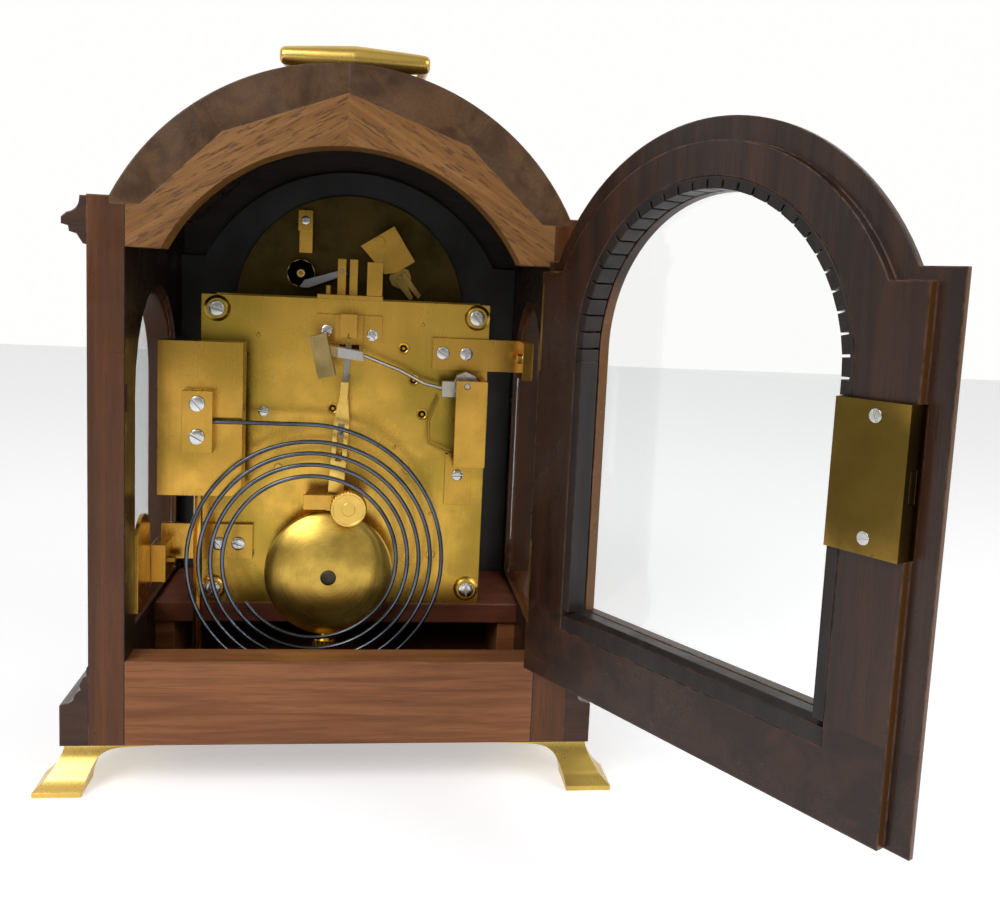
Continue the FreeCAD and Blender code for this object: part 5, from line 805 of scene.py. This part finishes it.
# At rest the rod leans towards plus X by 3.2 degrees.
swing, rod_top_x, rod_top_z, rod_length = math.radians(3.2), -1.5, 230.5, 131.2
bob_x = rod_top_x + rod_length * math.sin(swing)
bob_z = rod_top_z - rod_length * math.cos(swing)
bob_parts = bob_bench.axes(bob_place)
bob_u = bob_bench.math("SUBTRACT", bob_parts["X"], bob_x * MM)
bob_v = bob_bench.math("SUBTRACT", bob_parts["Z"], bob_z * MM)
bob_ring = bob_bench.math("SQRT", bob_bench.math(
    "ADD", bob_bench.math("MULTIPLY", bob_u, bob_u), bob_bench.math("MULTIPLY", bob_v, bob_v)))
turning = bob_bench.noise(bob_bench.joined(bob_ring), 2600.0, 3.0)
bob_cloud = bob_bench.spread(bob_bench.noise(bob_place, 60.0, 5.0), 0.35, 0.7)
bob_bench.put(bob_shader.inputs["Base Color"],
              bob_bench.mix(bob_cloud, (0.66, 0.44, 0.09), (0.42, 0.27, 0.05)))
bob_shader.inputs["Metallic"].default_value = 1.0
bob_bench.put(bob_shader.inputs["Roughness"],
              bob_bench.spread(turning, 0.3, 0.7, 0.24, 0.38))
bob_plain = bob_bench.tree.nodes.new("ShaderNodeNewGeometry").outputs["Normal"]
bob_bench.put(bob_shader.inputs["Normal"],
              relief(bob_bench, turning, bob_plain, 0.16, 0.0003))

bob_depth = 28.0
lens_out = smooth_line([(3.2, 10.0), (12, 9.2), (22, 7.0), (30, 3.9), (34.3, 1.4)], 6)
lens_line = np.vstack([[(2.0, 10.0)], lens_out, [(35.2, 0.7), (35.4, 0.0), (35.2, -0.7)],
                       lens_out[::-1] * (1, -1), [(2.0, -10.0)]])
bob_piece = new_piece("brass_bob", bob_brass,
                      turned_form(lens_line, (bob_x, bob_depth, bob_z), "Y", 96), crease=50)
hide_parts("pendulum_bob")
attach(bob_piece, "pendulum")

hub_dark = brasswork("hub_dark", (0.10, 0.085, 0.06), (0.03, 0.026, 0.02), 0.5,
                     tarnish=0.9)
hub_line = smooth_line([(0.05, 39.0), (2.4, 38.8), (4.0, 38.3), (4.4, 37.6)], 5)
hub_piece = new_piece("bob_hub", hub_dark, turned_form(hub_line, (bob_x, 0, bob_z), "Y", 40),
                      crease=60)
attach(hub_piece, "pendulum")

rod_brass = brasswork("rod_brass", (0.82, 0.54, 0.13), (0.52, 0.33, 0.07), 0.24)
dress(rod_brass, "pendulum_rod", "rating_nut")


def knurled_form(centre, rings, teeth):
    """A disc along Y from rings of (radius, y, depth of knurl): the radius of a ring
    swings in and out teeth times a turn by its depth."""
    angle = np.linspace(0, 2 * np.pi, teeth * 4, endpoint=False)
    radius, level, depth = (column[:, None] for column in np.asarray(rings, float).T)
    reach = radius - depth * (0.5 - 0.5 * np.cos(teeth * angle))
    grid = np.stack([centre[0] + reach * np.cos(angle), np.broadcast_to(level, reach.shape),
                     centre[1] + reach * np.sin(angle)], -1)
    return grid_form(grid, closed=True, cap=True)


knob_line = [(2.0, 29.3, 0), (2.0, 34.5, 0), (6.9, 34.5, 0), (7.3, 34.9, 0), (7.3, 38.7, 0),
             (9.4, 38.7, 0), (9.9, 39.2, 0.5), (9.9, 44.4, 0.5), (9.4, 44.95, 0.2),
             (8.3, 44.95, 0), (8.0, 44.75, 0), (3.6, 44.75, 0), (3.3, 44.95, 0),
             (0.6, 45.0, 0)]
knob_piece = new_piece("holdfast_knob", rod_brass, knurled_form((-4.3, 139.2), knob_line, 36))
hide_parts("holdfast_screw")
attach(knob_piece, "holdfast")

# ------------------------------------------------------------------ the hammer and small work
# A steel arm springs from a hub on its arbor and carries a brass head faced with leather.
# Behind the arch are the regulator's round disc and the screws of its cocks.

hammer_metal = two_part("hammer_metal", (0.50, 0.50, 0.49), (0.46, 0.33, 0.13), "X", 0.0035,
                        0.24, 0.4)
dress(hammer_metal, "hammer")
disc_line = [(1.6, -48.9), (8.2, -48.9), (8.6, -48.6), (8.6, -46.9), (8.2, -46.6),
             (2.6, -46.6), (2.4, -46.1), (0.3, -46.0)]
disc_piece = new_piece("regulator_disc", rod_brass,
                       turned_form(disc_line, (small_ring_x, 0, small_ring_z), "Y"))
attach(disc_piece, "regulation")
arch_screws = new_piece("arch_screws", steel,
                        slotted_form((28.0, -49.0, 296.4), 2.6, 0.9, 90),
                        slotted_form((-16.9, -45.2, 285.6), 2.9, 0.9, 60))
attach(arch_screws, "case")

# ------------------------------------------------------------------ the gong
# One length of hardened and blued steel wire, wound to a flat spiral and clamped at its
# outer end to a brass block on a post from the floor of the case.


def gong_line():
    """Points along the straight lead and the quarter turns, each a step tighter than the
    last: the centre moves towards the end of each quarter by the step."""
    first, second, step, quarters, points_each = 73.3, 68.72, 1.55, 18, 26
    centre, lead_start, lead_points = np.array([17.9, 111.4]), 80.5, 12
    radii = np.concatenate([[first], second - step * np.arange(quarters)])
    sweeps = np.radians(np.concatenate([np.full(quarters, 90.0), [58.0]]))
    starts = np.radians(90.0) + np.concatenate([[0], np.cumsum(sweeps)[:-1]])
    stops = starts + sweeps
    drift = radii[:-1] - radii[1:]
    moves = np.stack([np.cos(stops[:-1]), np.sin(stops[:-1])], -1) * drift[:, None]
    centres = np.vstack([[centre], centre + np.cumsum(moves, 0)])
    share = np.linspace(0, 1, points_each, endpoint=False)
    angle = starts[:, None] + sweeps[:, None] * share
    turns = centres[:, None] + radii[:, None, None] * np.stack([np.cos(angle),
                                                                np.sin(angle)], -1)
    lead = np.stack([np.linspace(lead_start, centre[0], lead_points, endpoint=False),
                     np.full(lead_points, centre[1] + first)], -1)
    last = centres[-1] + radii[-1] * np.array([math.cos(stops[-1]), math.sin(stops[-1])])
    return np.vstack([lead, turns.reshape(-1, 2), last])


def round_wire(line, depth, radius, sides=12):
    """A round wire along a line in the plane of the dial: at each point a circle stands
    across the line's own direction."""
    run = np.gradient(line, axis=0)
    run /= np.linalg.norm(run, axis=1, keepdims=True)
    side = np.stack([-run[:, 1], run[:, 0]], -1)
    angle = np.linspace(0, 2 * np.pi, sides, endpoint=False)
    flat = line[:, None] + side[:, None] * (radius * np.cos(angle))[None, :, None]
    grid = np.stack([flat[..., 0], np.broadcast_to(depth + radius * np.sin(angle),
                                                   flat.shape[:2]), flat[..., 1]], -1)
    return grid_form(grid, closed=True, cap=True)


gong_steel = brasswork("gong_steel", (0.13, 0.155, 0.20), (0.035, 0.04, 0.05), 0.16,
                       lines=500.0, tarnish=0.7)
gong_depth, wire_radius = 43.0, 1.15
gong_piece = new_piece("gong_wire", gong_steel,
                       round_wire(gong_line(), gong_depth, wire_radius), crease=60)
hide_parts("gong_coil")
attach(gong_piece, "case")
